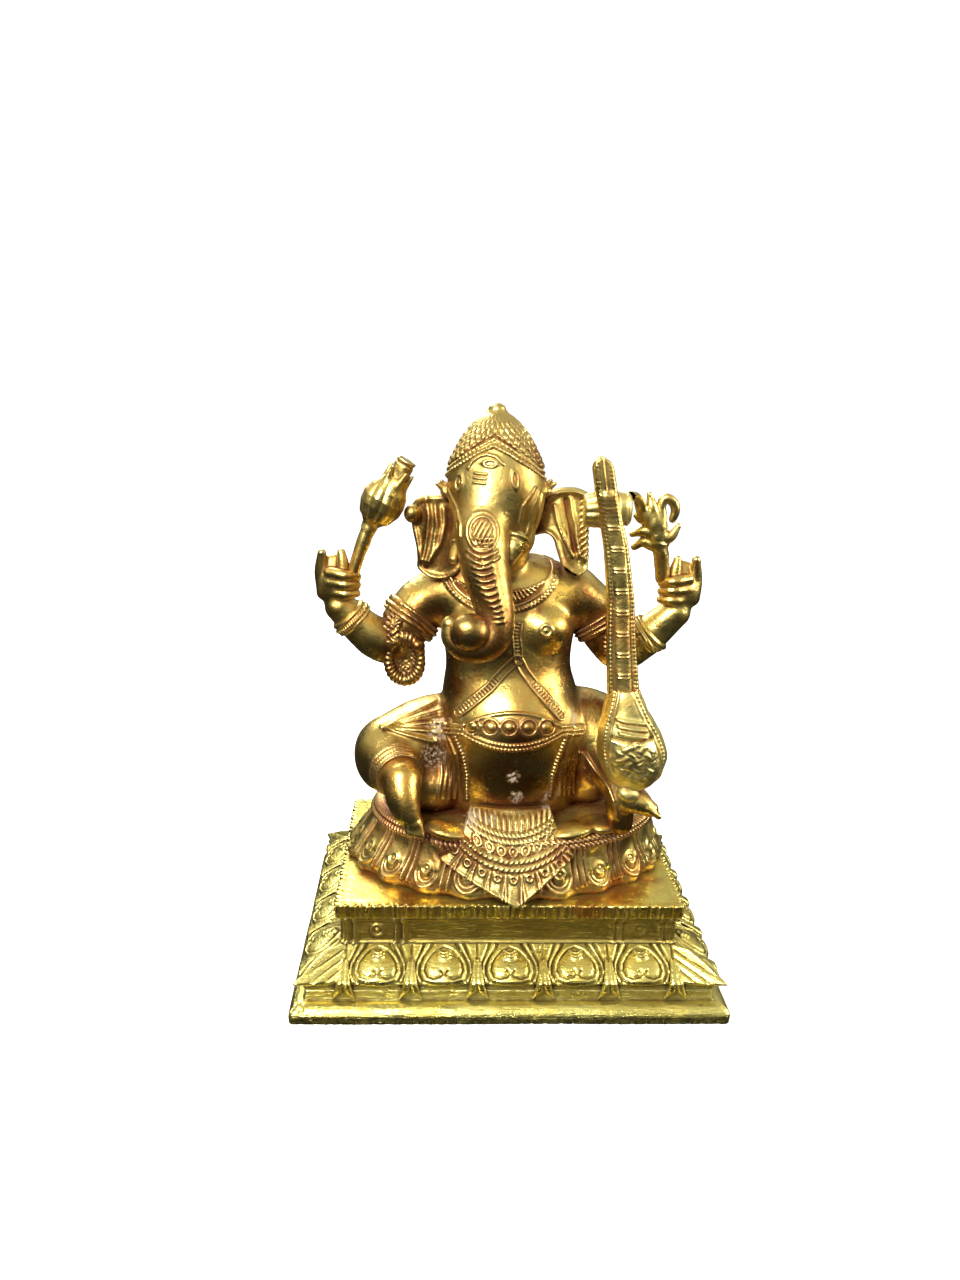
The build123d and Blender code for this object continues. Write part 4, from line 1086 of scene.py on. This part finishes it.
def plan_place(p, corner=1.0):
    """Distance outside the plinth's outline, place along a side, whether it is an end, half its length."""
    q = np.abs(p[:, :2]) - PLAN
    inner = q + corner
    out = (length(np.maximum(inner, 0)) + np.minimum(inner.max(1), 0) - corner).astype(np.float32)
    on_end = q[:, 0] > q[:, 1]
    run = np.where(on_end, p[:, 1], p[:, 0])
    return out, run, on_end, np.where(on_end, PLAN[1], PLAN[0]) + out


def open_middle(p, d, low, high, inset):
    """d hollowed right through, leaving a wall inside the given inset."""
    out = plan_place(p, 3.0)[0]
    return np.maximum(np.maximum(d, -out - inset), np.maximum(low - p[:, 2], p[:, 2] - high))


def roll_profile(out, z):
    """Distance from the plinth's section: an upright foot, a rolled nose and a recessed band above."""
    foot = np.maximum(out, z - PLINTH_FOOT)
    q = np.hypot(np.maximum(out + ROLL[0], 0) / ROLL[0], np.maximum(z - PLINTH_FOOT, 0) / ROLL[1])
    nose = np.maximum((q - 1) * 2.4, out)
    recess = 0.3 * np.sin(np.clip((z - 4.4) / 5.0, 0, 1) * math.pi)
    band = np.maximum(out + ROLL[0] + recess, z - PLINTH_TOP)
    return np.minimum(np.minimum(foot, nose), band)


def plinth_slab(p):
    """Bottom slab with a rolled nose, filed mitres, a nick at one corner and a rough lower edge."""
    out, run, _, half = plan_place(p, 1.6)
    z = p[:, 2]
    ragged = run + 0.8 * np.sin(run * 0.31) + 0.3 * np.sin(run * 1.7)
    chips = 0.20 * beads(ragged, 0.75) + 0.22 * (1 - beads(ragged, 3.1)) ** 3
    d = roll_profile(out, z) + bump(z - 0.3, 1.1) * chips
    d = d + 0.30 * bump(half - np.abs(run), 0.35) * step_up(4.4 - z, 0.3) * step_up(z - 1.5, 0.4)
    nick = stroke(p[:, 0], p[:, 1], [(-54.9, -43.6), (-52.6, -43.9), (-53.9, -41.9), (-54.9, -43.6)], 0.3)
    d = d + 0.35 * nick * step_up(z - 2.2, 0.4) + hammered(p, 11.0, 0.08)
    return open_middle(p, d, 0.0, PLINTH_TOP, DADO_IN + WALL)


# height above the plinth, and how far in from the lip the moulding's face stands
MOULD_PROFILE = ((0.0, 1.2), (1.2, 1.3), (1.9, 1.0), (2.2, 0.1), (2.9, 0.0), (3.4, 0.3), (4.6, 2.2),
                 (6.0, 4.9), (7.4, 7.8), (8.4, 9.5))
# the same for the tips that hang over the lip
TIP_PROFILE = ((-3.0, 0.6), (2.9, -0.1), (3.4, 0.2), (4.6, 2.0), (6.0, 4.6), (7.4, 7.5), (8.4, 9.2))
# depth, width and half outline of the grooves of one petal, from a curled heart outwards
PETAL_GROOVES = (
    (0.8, 0.36, [(0.9, 2.8), (0.3, 2.0), (0.9, 1.1), (2.6, 0.7), (4.2, 1.6), (4.9, 3.6), (4.6, 5.8),
                 (3.5, 8.0), (2.0, 10.0), (0.0, 11.2)]),
    (1.0, 0.42, [(0.0, -0.9), (2.8, -0.8), (5.2, 0.5), (6.3, 2.9), (6.2, 5.6), (5.2, 8.4), (3.8, 11.0),
                 (3.2, 12.4)]),
    (0.9, 0.40, [(6.9, 0.6), (7.6, 3.4), (7.3, 6.2), (6.4, 8.8), (5.2, 12.4)]),
    (0.5, 0.32, [(8.5, 12.4), (8.3, 7.0), (7.9, 3.4)]),
)


def petal_face(u, w):
    """A softly crowned petal with its grooves, and a stack of crescents near the top."""
    side = np.abs(u)
    rise = sum(-deep * stroke(side, w, line, width) for deep, width, line in PETAL_GROOVES)
    for level in (9.0, 7.9, 6.8):
        rise += 0.60 * stroke(side, w, [(0.0, level - 0.8), (0.8, level - 0.45), (1.4, level + 0.35)], 0.36)
    swell = np.clip(1 - ((side / 6.2) ** 2 + ((w - 4.6) / 7.5) ** 2), 0, 1)
    return rise + 1.3 * swell


def spikes(u, z, away):
    """Swallow-tail tips between the petals, which hang over the lip."""
    side = np.abs(np.abs(u) - PITCH / 2)
    tail, run = near_line(side, z, [(0.5, 6.0), (0.6, 3.6), (1.2, 0.9), (2.8, -1.9)])
    return np.hypot(tail, away * 1.2) - np.interp(run, (0, 2.4, 5.4, 8.4), (0.5, 1.0, 1.0, 0.2))


def lotus_moulding(p):
    """Petal-carved slope over a plain recessed band, with a leaf on each corner."""
    out, run, on_end, half = plan_place(p, 0.6)
    z = p[:, 2] - PLINTH_TOP
    steepness = np.interp(z, (0, 2, 3.2, 5, 8.4), (1.0, 0.9, 0.85, 0.60, 0.60))
    d = (out + MOULD_IN + np.interp(z, *zip(*MOULD_PROFILE))) * steepness
    w = -(out + MOULD_IN) * 1.15 + (z - 3.0) * 0.25
    u = within_cell(run + np.where(on_end, PITCH / 2, 0.0), PITCH)
    within = step_up(np.where(on_end, 2.0, 2.5) * PITCH - np.abs(run), 0.3)
    corner_gap = half - np.abs(run)
    leaf = 0.75 * beads(corner_gap * 0.92 - 0.22 * w, 3.0) + 0.9 * bump(corner_gap, 1.1)
    rise = petal_face(u, w) * within + (1 - within) * leaf
    wave = 0.40 * np.cos(2 * math.pi * u / PITCH) * bump(z - 2.4, 0.9)
    d = d - (rise * step_up(z - 2.7, 0.35) + wave) + hammered(p, 7.0, 0.07, 1.0)
    d = open_middle(p, d, PLINTH_TOP, MOULD_TOP, DADO_IN + WALL)
    hanging = spikes(u, z, (out + MOULD_IN + np.interp(z, *zip(*TIP_PROFILE))) * 0.9)
    hanging = np.maximum(hanging, np.abs(run) - np.where(on_end, 2.5, 3.0) * PITCH)
    return join(d, hanging, 0.35)


def dado_block(p):
    """Upright band with paired pilasters and a rosette near each corner."""
    out, run, on_end, half = plan_place(p, 0.4)
    z = p[:, 2] - MOULD_TOP
    tall = DADO_TOP - MOULD_TOP
    gap = half - np.abs(run)
    worn = np.where(p[:, 0] > 15, 0.45, 1.0) * np.where(on_end, 0.8, 1.0)
    rise = np.zeros(len(p), np.float32)
    for inset in (1.9, 3.9, 14.6, 16.7):
        rise += 0.75 * np.exp(-((gap - inset) / 0.55) ** 4)
    rosette = np.hypot(gap - 9.4, z - tall / 2)
    rise += 0.55 * bump(rosette - 1.6, 0.45) + 0.55 * bump(rosette, 0.6)
    ledge = 0.55 * step_up(0.7 - z, 0.15) + 0.45 * step_up(z - tall + 1.3, 0.15)
    d = out + DADO_IN - rise * worn - ledge + hammered(p, 6.0, 0.10, 6.0)
    return open_middle(p, d, MOULD_TOP, DADO_TOP, DADO_IN + WALL)


def cap_slab(p):
    """Top slab with an irregular notched edge, bored for the seat's tenon."""
    out, run, on_end, _ = plan_place(p, 0.6)
    z = p[:, 2]
    drift = run + 0.40 * np.sin(run * 0.83) + 0.25 * np.sin(run * 2.1 + on_end)
    notch = 1 - beads(drift, 2.1)
    wear = np.clip((SEAT_Z - z) / (SEAT_Z - DADO_TOP), 0, 1)
    edge = out + CAP_IN
    face = edge + 0.1 + notch * (1.30 - 0.5 * wear) * (0.8 + 0.2 * np.sin(run * 0.57)) + 0.5 * wear ** 2
    top = z - SEAT_Z + 0.45 * bump(edge + 0.4, 1.0) * notch + 0.12 * bump(edge + 2.4, 0.8)
    d = join_edge(face, top, 0.4) + hammered(p, 8.0, 0.08, 4.0)
    d = join_edge(d, DADO_TOP - z, 0.3)
    return np.maximum(d, TENON_R - np.hypot(p[:, 0], p[:, 1]))


def retaining_pin(p):
    """Hammered cross pin with a rounded head and a bevelled point, under the cap slab."""
    lo, hi = BOXES["retaining_pin"]
    half = (hi - lo) / 2
    q = p - ((lo + hi) / 2).astype(np.float32)
    taper = half[2] * np.interp(q[:, 0], (-13, -12.2, 11.0, 13), (0.75, 1.0, 0.96, 0.6))
    d = np.maximum(np.hypot(q[:, 1], q[:, 2]) - taper, np.abs(q[:, 0]) - half[0])
    return d + 0.05 * np.sin(2.6 * q[:, 0]) + hammered(p, 1.8, 0.04)


# ---------------------------------------------------------------- fitting the castings together
def fused(own, others, soft=2.0, overlap=1.0):
    """Field of one casting where it flows into its neighbours: filleted to them and parted half way."""
    def field(p):
        mine = own(p)
        theirs = [other(p) for other in others]
        whole, nearest = mine, theirs[0]
        for d in theirs:
            whole, nearest = join(whole, d, soft), np.minimum(nearest, d)
        return np.maximum(whole, mine - nearest - overlap)
    return field


def above_seat(field, depth=1.2):
    """A casting that stops a little way inside the cushion."""
    return lambda p: np.maximum(field(p), LAP - depth - p[:, 2])


def head_under_crown(p):
    """The head, with the small blooms at its temples."""
    blooms = np.minimum(flower(p, (-17.4, -5.5, 85.4), -1), flower(p, (7.6, -5.5, 86.0), 1))
    return join(head(p), blooms, 0.5)


# ---------------------------------------------------------------- brass
class Nodes:
    """Short ways to add shader nodes to a tree and to wire them. Sizes are in millimetres."""

    def __init__(self, tree):
        self.tree = tree
        self.wire = tree.links.new

    def add(self, kind, **values):
        """A node. A value named in_X is set on the input X, which is a name or a number."""
        node = self.tree.nodes.new(kind)
        for key, value in values.items():
            if key.startswith("in_"):
                spot = key[3:]
                node.inputs[int(spot) if spot.isdigit() else spot.replace("_", " ")].default_value = value
            else:
                setattr(node, key, value)
        return node

    def plug(self, value, socket):
        """Sets a socket to a number or a colour, or wires it to an output."""
        if isinstance(value, tuple):
            socket.default_value = (*value, 1.0)
        elif isinstance(value, (int, float)):
            socket.default_value = value
        else:
            self.wire(value, socket)

    def noise(self, place, size, detail, rough=0.6, warp=0.0):
        """Noise whose features are about size across."""
        node = self.add("ShaderNodeTexNoise", in_Scale=1 / (size * MM), in_Detail=detail, in_Roughness=rough,
                        in_Distortion=warp)
        self.wire(place, node.inputs["Vector"])
        return node.outputs["Fac"]

    def ranged(self, value, low, high, to_low=0.0, to_high=1.0):
        """value carried from one range to another, clamped."""
        node = self.add("ShaderNodeMapRange", in_1=low, in_2=high, in_3=to_low, in_4=to_high)
        self.wire(value, node.inputs[0])
        return node.outputs[0]

    def maths(self, what, a, b):
        """a and b added, multiplied and so on, held between 0 and 1."""
        node = self.add("ShaderNodeMath", operation=what, use_clamp=True)
        self.plug(a, node.inputs[0])
        self.plug(b, node.inputs[1])
        return node.outputs[0]

    def times(self, a, b):
        """a times b, held between 0 and 1."""
        return self.maths("MULTIPLY", a, b)

    def plus(self, a, b):
        """a plus b, held between 0 and 1."""
        return self.maths("ADD", a, b)

    def blended(self, share, a, b):
        """Colour a turning to colour b by share."""
        node = self.add("ShaderNodeMix", data_type="RGBA")
        self.wire(share, node.inputs["Factor"])
        self.plug(a, node.inputs[6])
        self.plug(b, node.inputs[7])
        return node.outputs[2]

    def zones(self, place, spots, core=0.25):
        """1 in the core of each spot, an (x, y, z, radius), falling to 0 at its radius."""
        mask = None
        for x, y, z, radius in spots:
            away = self.add("ShaderNodeVectorMath", operation="DISTANCE")
            self.wire(place, away.inputs[0])
            away.inputs[1].default_value = (x * MM, y * MM, z * MM)
            near = self.ranged(away.outputs["Value"], radius * MM, radius * core * MM)
            mask = near if mask is None else self.maths("MAXIMUM", mask, near)
        return mask

    def smears(self, place, spots, ragged):
        """1 near any of the spots, with a ragged edge."""
        return self.ranged(self.times(self.zones(place, spots), ragged), 0.14, 0.52)

    def upright_shade(self):
        """1 on faces that stand upright, 0 on level ones: the mask of the painted shade on upright faces."""
        split = self.add("ShaderNodeSeparateXYZ")
        self.wire(self.add("ShaderNodeNewGeometry").outputs["Normal"], split.inputs[0])
        level = self.add("ShaderNodeMath", operation="ABSOLUTE")
        self.wire(split.outputs[2], level.inputs[0])
        return self.ranged(level.outputs[0], 0.45, 0.20)


def darkness(nodes, patches, dirt):
    """Share of dark patina, in the hollows and the creases, and share of worn edge."""
    shade = nodes.add("ShaderNodeAmbientOcclusion", samples=12, in_Distance=7.0 * MM)
    hollow = nodes.ranged(shade.outputs["AO"], 0.92, 0.30)
    point = nodes.add("ShaderNodeNewGeometry").outputs["Pointiness"]
    crease = nodes.ranged(point, 0.497, 0.455)
    dark = nodes.plus(nodes.times(hollow, dirt), nodes.times(crease, 0.85 * dirt))
    return nodes.times(dark, nodes.ranged(patches, 0.30, 0.58, 0.60, 1.15)), nodes.ranged(point, 0.515, 0.57)


def surface_bump(nodes, place, patches, fine, file_lines):
    """Casting skin: shallow pits and, where the metal was filed, lines along the work."""
    height = nodes.plus(nodes.times(patches, 0.6), nodes.times(fine, 0.25))
    if file_lines:
        stretched = nodes.add("ShaderNodeMapping", in_Scale=(0.06, 0.06, 1.0))
        nodes.wire(place, stretched.inputs["Vector"])
        lines = nodes.noise(stretched.outputs[0], 0.45, 3.0, 0.7)
        height = nodes.plus(nodes.times(height, 0.5), nodes.times(lines, file_lines))
    node = nodes.add("ShaderNodeBump", in_Strength=0.9, in_Distance=0.4 * MM)
    nodes.wire(height, node.inputs["Height"])
    return node.outputs["Normal"]


SHADOWED = (0.24, 0.17, 0.035)         # colour of painted shade on upright faces
# brown of spots that are partly real tarnish and partly painted shade
TARNISH_AND_SHADE_BROWN = (0.20, 0.078, 0.019)
STAINED = (0.34, 0.14, 0.03)
CHALKY = (0.50, 0.44, 0.37)
UMBER = (0.17, 0.055, 0.014)           # patina in the hollows of the figure and the seat


def brass(name, bright, warm, patina, dirt=1.0, rough=0.26, file_lines=0.0, residue=(), stains=(), tarnish_and_shade=(),
          upright_shade=0.0):
    """Cast brass: bright metal turning warm in patches, dark patina in the hollows, worn bright edges, and
    painted shade on upright faces and in brown spots that are partly real tarnish.
    """
    material = bpy.data.materials.new(name)
    material.use_nodes = True
    nodes = Nodes(material.node_tree)
    place = nodes.add("ShaderNodeTexCoord").outputs["Object"]
    broad = nodes.noise(place, 16.0, 3.0, 0.55, 0.6)
    patches = nodes.noise(place, 4.5, 5.0, 0.65, 0.4)
    fine = nodes.noise(place, 0.9, 4.0, 0.7)
    dark, ridge = darkness(nodes, patches, dirt)
    warmth = nodes.plus(nodes.times(broad, 0.6), nodes.times(patches, 0.4))
    colour = nodes.blended(nodes.ranged(warmth, 0.46, 0.60), bright, warm)
    # painted shade: faces that stand upright are darkened towards SHADOWED
    if upright_shade:
        upright_shade_mask = nodes.times(nodes.upright_shade(), nodes.ranged(fine, 0.35, 0.6, 0.7, 1.0))
        colour = nodes.blended(nodes.times(upright_shade_mask, upright_shade), colour, SHADOWED)
    # partly real tarnish, partly painted shade: brown laid in spots on the trunk and ball, under the breasts,
    # by the arms and at the waist
    if tarnish_and_shade:
        tarnish_and_shade_mask = nodes.times(nodes.zones(place, tarnish_and_shade, 0.5), nodes.ranged(patches, 0.36, 0.58, 0.45, 1.0))
        colour = nodes.blended(nodes.times(tarnish_and_shade_mask, 0.92), colour, TARNISH_AND_SHADE_BROWN)
    colour = nodes.blended(dark, colour, patina)
    worn = tuple(min(1.0, 0.22 + 0.85 * c) for c in bright)
    colour = nodes.blended(nodes.times(ridge, 0.5), colour, worn)
    metal = nodes.ranged(dark, 0.0, 1.0, 1.0, 0.75)
    roughness = nodes.ranged(patches, 0.3, 0.7, rough - 0.07, rough + 0.14)
    roughness = nodes.plus(roughness, nodes.times(dark, 0.22))
    if stains:
        stain = nodes.smears(place, stains, nodes.ranged(patches, 0.38, 0.56, 0.1, 1.0))
        colour = nodes.blended(nodes.times(stain, 0.75), colour, STAINED)
    if residue:
        chalk = nodes.smears(place, residue, nodes.ranged(fine, 0.40, 0.64, 0.05, 0.85))
        chalk = nodes.times(chalk, 0.7)
        colour = nodes.blended(chalk, colour, CHALKY)
        metal = nodes.times(metal, nodes.ranged(chalk, 0.0, 1.0, 1.0, 0.1))
        roughness = nodes.plus(roughness, nodes.times(chalk, 0.5))
    shader = material.node_tree.nodes["Principled BSDF"]
    nodes.wire(colour, shader.inputs["Base Color"])
    nodes.wire(metal, shader.inputs["Metallic"])
    nodes.wire(roughness, shader.inputs["Roughness"])
    nodes.wire(surface_bump(nodes, place, patches, fine, file_lines), shader.inputs["Normal"])
    return material


def placed(level, spots):
    """Spots given as (x, y, height above a level, radius), with the height from the ground instead."""
    return [(x, y, level + h, radius) for x, y, h, radius in spots]


# where chalky residue and brown stains lie, and the brown spots that are partly real tarnish and partly
# painted shade
LAP_RESIDUE = placed(LAP, (
    (-20, -17, 17, 5.5), (-19, -12, 23, 5), (-11, -24, 3, 5), (12, -21.5, 7, 6), (0.4, -22, 14, 2.6),
    (1.6, -22.5, 8, 3), (16, -15, 27, 4.5), (-5, -24, 2, 3.5)))
SEAT_STAINS = placed(SEAT_Z, (
    (20, -33, 1, 8), (31, -27, 2, 8), (9, -35.5, 1, 5), (38, -19, 4, 7), (-26, -30, 1, 6), (-38, -18, 2, 6)))
TARNISH_AND_SHADE_SPOTS = placed(LAP, (
    (-8, -27, 53, 11), (-6, -24, 62, 9), (-5, -20, 69, 6), (-16, -6, 67, 8), (-30, -5, 45, 11),
    (26, -3, 48, 11), (19, -6, 57, 7), (0, -20, 11, 15), (-17, -14, 14, 12), (18, -15, 13, 12),
    (-25, -22, 7, 8), (16, -6, 41, 8), (-16, -6, 41, 8), (2, -20, 24, 9), (-3, -14, 46, 7), (29, -22, 3, 9),
    (30, -22, -3, 7), (-20, -28, -3, 7), (0, -32, -3, 3), (-11, -30, -4, 6), (14, -30, -3, 6),
    (22, -8, 27, 8), (-20, -12, 27, 8), (-31, -12, 14, 12), (-7, -29, 58, 9), (-8, -26, 66, 7),
    (-12, -31, 51, 7), (-23, -6, 72, 12), (12, -8, 71, 8), (8, -8, 96, 7), (-3, -27, 56, 8),
    (-3, -24, 63, 8), (-12, -34, 54, 9), (-22, -7, 53, 8), (22, -7, 53, 8), (-14, -9, 34, 8),
    (15, -9, 34, 8), (5, -12, 58, 5)))

MATERIALS = {
    "plinth": brass("pale_brass_plinth", (0.94, 0.82, 0.24), (0.84, 0.68, 0.16), (0.14, 0.10, 0.018),
                    dirt=0.9, rough=0.24, file_lines=0.8),
    "pedestal": brass("pale_brass", (0.93, 0.80, 0.23), (0.82, 0.65, 0.15), (0.11, 0.075, 0.012),
                      dirt=1.25, rough=0.25, file_lines=0.6),
    # painted shade: the dado's brass is a darker copy of the pedestal's, and its upright faces are darkened
    # further
    "dado": brass("pale_brass_dado_painted_shade", (0.50, 0.40, 0.09), (0.42, 0.30, 0.06), (0.09, 0.06, 0.011),
                  rough=0.32, file_lines=0.8, upright_shade=0.65),
    # painted shade: the cap's upright faces are darkened; its brown smears are real stains
    "cap": brass("pale_brass_cap", (0.76, 0.62, 0.13), (0.72, 0.52, 0.10), (0.14, 0.09, 0.015),
                 dirt=0.8, rough=0.27, file_lines=0.5, stains=SEAT_STAINS, upright_shade=0.75),
    "seat": brass("aged_brass_seat", (0.80, 0.63, 0.18), (0.70, 0.42, 0.11), UMBER,
                  dirt=1.1, rough=0.28, residue=LAP_RESIDUE, stains=SEAT_STAINS, tarnish_and_shade=TARNISH_AND_SHADE_SPOTS),
    "apron": brass("aged_brass_apron", (0.60, 0.47, 0.15), (0.52, 0.30, 0.09), UMBER,
                   dirt=1.35, rough=0.30, residue=LAP_RESIDUE, tarnish_and_shade=TARNISH_AND_SHADE_SPOTS),
    "cord": brass("aged_brass_dark", (0.58, 0.37, 0.12), (0.40, 0.18, 0.06), (0.12, 0.03, 0.01),
                  dirt=1.2, rough=0.30, residue=LAP_RESIDUE),
    "ornament": brass("aged_brass", (0.78, 0.58, 0.18), (0.66, 0.36, 0.09), UMBER,
                      dirt=1.1, rough=0.28, tarnish_and_shade=TARNISH_AND_SHADE_SPOTS),
    "scarf": brass("aged_brass_scarf", (0.52, 0.33, 0.09), (0.34, 0.14, 0.04), (0.08, 0.02, 0.008),
                   dirt=1.1, rough=0.30),
    "figure": brass("golden_brass", (0.80, 0.62, 0.18), (0.68, 0.42, 0.10), UMBER,
                    rough=0.28, tarnish_and_shade=TARNISH_AND_SHADE_SPOTS),
    "head": brass("golden_brass_head", (0.64, 0.48, 0.14), (0.58, 0.35, 0.09), UMBER,
                  dirt=1.1, rough=0.33, tarnish_and_shade=TARNISH_AND_SHADE_SPOTS),
    "lap": brass("golden_brass_lap", (0.78, 0.59, 0.16), (0.62, 0.35, 0.08), UMBER,
                 rough=0.27, residue=LAP_RESIDUE, tarnish_and_shade=TARNISH_AND_SHADE_SPOTS),
    "neck": brass("golden_brass_neck", (0.72, 0.56, 0.17), (0.62, 0.38, 0.10), UMBER, dirt=1.3, rough=0.30),
    "lute": brass("golden_brass_lute", (0.92, 0.79, 0.28), (0.80, 0.58, 0.16), UMBER, rough=0.36),
}

# node: (field, grid spacing, material, room round the CAD box in millimetres)
CASTINGS = {
    "plinth_slab": (plinth_slab, STEP * 1.15, "plinth", 1),
    "lotus_moulding": (lotus_moulding, STEP * 0.85, "pedestal", 3),
    "dado_block": (dado_block, STEP * 1.1, "dado", 1),
    "cap_slab": (cap_slab, STEP, "cap", 1),
    "retaining_pin": (retaining_pin, STEP_SMALL, "pedestal", 1),
    "lotus_seat": (lotus_seat, STEP, "seat", 2.5),
    "seat_cord": (seat_cord, STEP_SMALL, "cord", 2.5),
    "seat_apron": (seat_apron, STEP_SMALL, "apron", 3.5),
    "torso": (above_seat(fused(torso, (right_leg, left_leg, right_arm, left_arm, head))), STEP, "lap", 3),
    "right_leg": (above_seat(fused(right_leg, (torso,)), 5.0), STEP, "lap", 5),
    "left_leg": (above_seat(fused(left_leg, (torso,)), 5.0), STEP, "lap", 5),
    "right_arm": (fused(right_arm, (torso,)), STEP, "figure", 4),
    "left_arm": (fused(left_arm, (torso,)), STEP, "figure", 4),
    "head_and_trunk": (fused(head_under_crown, (torso,)), STEP_SMALL, "head", 13),
    "crown": (crown, STEP_SMALL, "head", 3),
    "right_ear": (right_ear, STEP_SMALL, "figure", 4),
    "left_ear": (left_ear, STEP_SMALL, "figure", 4),
    "right_tusk": (tusk(RIGHT_TUSK), STEP_SMALL, "figure", 3),
    "left_tusk": (tusk(LEFT_TUSK), STEP_SMALL, "figure", 3),
    "sweet_ball": (sweet_ball, STEP_SMALL, "head", 3),
    "lotus_bud": (lotus_bud, STEP_SMALL, "figure", 3),
    "goad": (goad, STEP_SMALL, "figure", 4),
    "veena_bowl": (veena_bowl, STEP_SMALL, "lute", 3),
    "veena_neck": (veena_neck, STEP_SMALL, "neck", 3),
    "veena_gourd": (veena_gourd, STEP_SMALL, "lute", 3),
    "girdle": (girdle, STEP_SMALL, "ornament", (3, 3, 19)),
    "collar_necklace": (collar_necklace, STEP_SMALL, "ornament", 3),
    "crossed_sash": (crossed_sash, STEP_SMALL, "ornament", 3),
    "armlets": (armlets, STEP_SMALL, "ornament", 3),
    "bracelets": (bracelets, STEP_SMALL, "figure", 3),
    "scarf_loops": (scarf_loops, STEP_SMALL, "scarf", 4),
    "right_anklet": (right_anklet, STEP_SMALL, "ornament", 4),
}


def cast(node):
    """Vertices and quads of one casting."""
    field, step, _, room = CASTINGS[node]
    lo, hi = BOXES[node]
    return surface(field, lo - np.array(room), hi + np.array(room), step)


with ThreadPoolExecutor(4) as pool:
    for casting, (shape_verts, shape_quads) in zip(CASTINGS, pool.map(cast, CASTINGS)):
        make_piece(casting, shape_verts, shape_quads, MATERIALS[CASTINGS[casting][2]])


# ---------------------------------------------------------------- floor, light and camera
SPAN = CAD_HI - CAD_LO
TALL = SPAN.z
FOOT = Vector(((CAD_LO.x + CAD_HI.x) / 2, (CAD_LO.y + CAD_HI.y) / 2, CAD_LO.z))


def backdrop():
    """Pale floor that curves up into a wall behind."""
    profile = [(-3.0, 0.0), (1.2, 0.0)]
    profile += [(1.2 + 0.6 * math.sin(a), 0.6 - 0.6 * math.cos(a)) for a in np.linspace(0.1, math.pi / 2, 12)]
    profile.append((1.8, 3.0))
    verts = [(x, y, CAD_LO.z + z) for y, z in profile for x in (-4.0, 4.0)]
    faces = [(2 * i, 2 * i + 1, 2 * i + 3, 2 * i + 2) for i in range(len(profile) - 1)]
    mesh = bpy.data.meshes.new("floor")
    mesh.from_pydata(verts, [], faces)
    mesh.polygons.foreach_set("use_smooth", [True] * len(faces))
    floor = bpy.data.objects.new("floor", mesh)
    bpy.context.scene.collection.objects.link(floor)
    paint = bpy.data.materials.new("floor_paint")
    paint.use_nodes = True
    shader = paint.node_tree.nodes["Principled BSDF"]
    shader.inputs["Base Color"].default_value = (0.86, 0.86, 0.85, 1)
    shader.inputs["Roughness"].default_value = 0.9
    shader.inputs["Emission Color"].default_value = (0.9, 0.9, 0.9, 1)
    shader.inputs["Emission Strength"].default_value = 0.45
    mesh.materials.append(paint)
    floor.visible_glossy = False
    floor.visible_shadow = False


def softbox(name, place, size, power, tint=(1.0, 1.0, 1.0)):
    """Square soft light aimed at the middle of the idol. place is in idol heights from its foot."""
    light = bpy.data.lights.new(name, "AREA")
    light.size = size * TALL
    light.energy = power
    light.color = tint
    lamp = bpy.data.objects.new(name, light)
    bpy.context.scene.collection.objects.link(lamp)
    lamp.location = FOOT + Vector(place) * TALL
    aim = FOOT + Vector((0, 0, 0.45)) * TALL - lamp.location
    lamp.rotation_euler = aim.to_track_quat("-Z", "Y").to_euler()


def surroundings():
    """Studio that is bright overhead and dark level with the idol, and white to the camera."""
    world = bpy.data.worlds.new("studio")
    bpy.context.scene.world = world
    world.use_nodes = True
    nodes = Nodes(world.node_tree)
    split = nodes.add("ShaderNodeSeparateXYZ")
    nodes.wire(nodes.add("ShaderNodeTexCoord").outputs["Generated"], split.inputs[0])
    ramp = nodes.add("ShaderNodeValToRGB")
    nodes.wire(nodes.ranged(split.outputs[2], -1.0, 1.0), ramp.inputs[0])
    stops = ramp.color_ramp.elements
    stops[0].position, stops[0].color = 0.0, (0.02, 0.02, 0.02, 1)
    stops[1].position, stops[1].color = 1.0, (0.55, 0.55, 0.53, 1)
    for position, level in ((0.47, 0.035), (0.56, 0.09), (0.64, 0.30), (0.76, 0.80)):
        stop = stops.new(position)
        stop.color = (level, level, level * 0.98, 1)
    seen = nodes.add("ShaderNodeLightPath").outputs["Is Camera Ray"]
    colour = nodes.blended(seen, ramp.outputs[0], (0.95, 0.95, 0.95))
    nodes.wire(colour, world.node_tree.nodes["Background"].inputs[0])


def camera():
    """Camera at about twice the idol's height away, looking down on it a little."""
    data = bpy.data.cameras.new("camera")
    data.sensor_width = 36.0
    data.lens = 30.95
    data.clip_start = 0.01
    eye = bpy.data.objects.new("camera", data)
    bpy.context.scene.collection.objects.link(eye)
    turn = Matrix.Rotation(math.radians(-2.03), 4, "Z") @ Matrix.Rotation(math.radians(74.45), 4, "X")
    turn = turn @ Matrix.Rotation(math.radians(1.14), 4, "Z")
    eye.matrix_world = Matrix.Translation(FOOT + Vector((-0.1199, -1.8891, 1.1102)) * TALL) @ turn
    bpy.context.scene.camera = eye


backdrop()
surroundings()
softbox("key", (-1.4, -2.6, 3.0), 1.1, 4.4, (1.0, 0.98, 0.94))
softbox("side", (3.0, -0.6, 1.6), 0.8, 1.6, (1.0, 0.96, 0.90))
softbox("rim", (-1.2, 3.0, 3.2), 1.6, 3.0)
camera()
bpy.context.scene.view_settings.view_transform = "Standard"
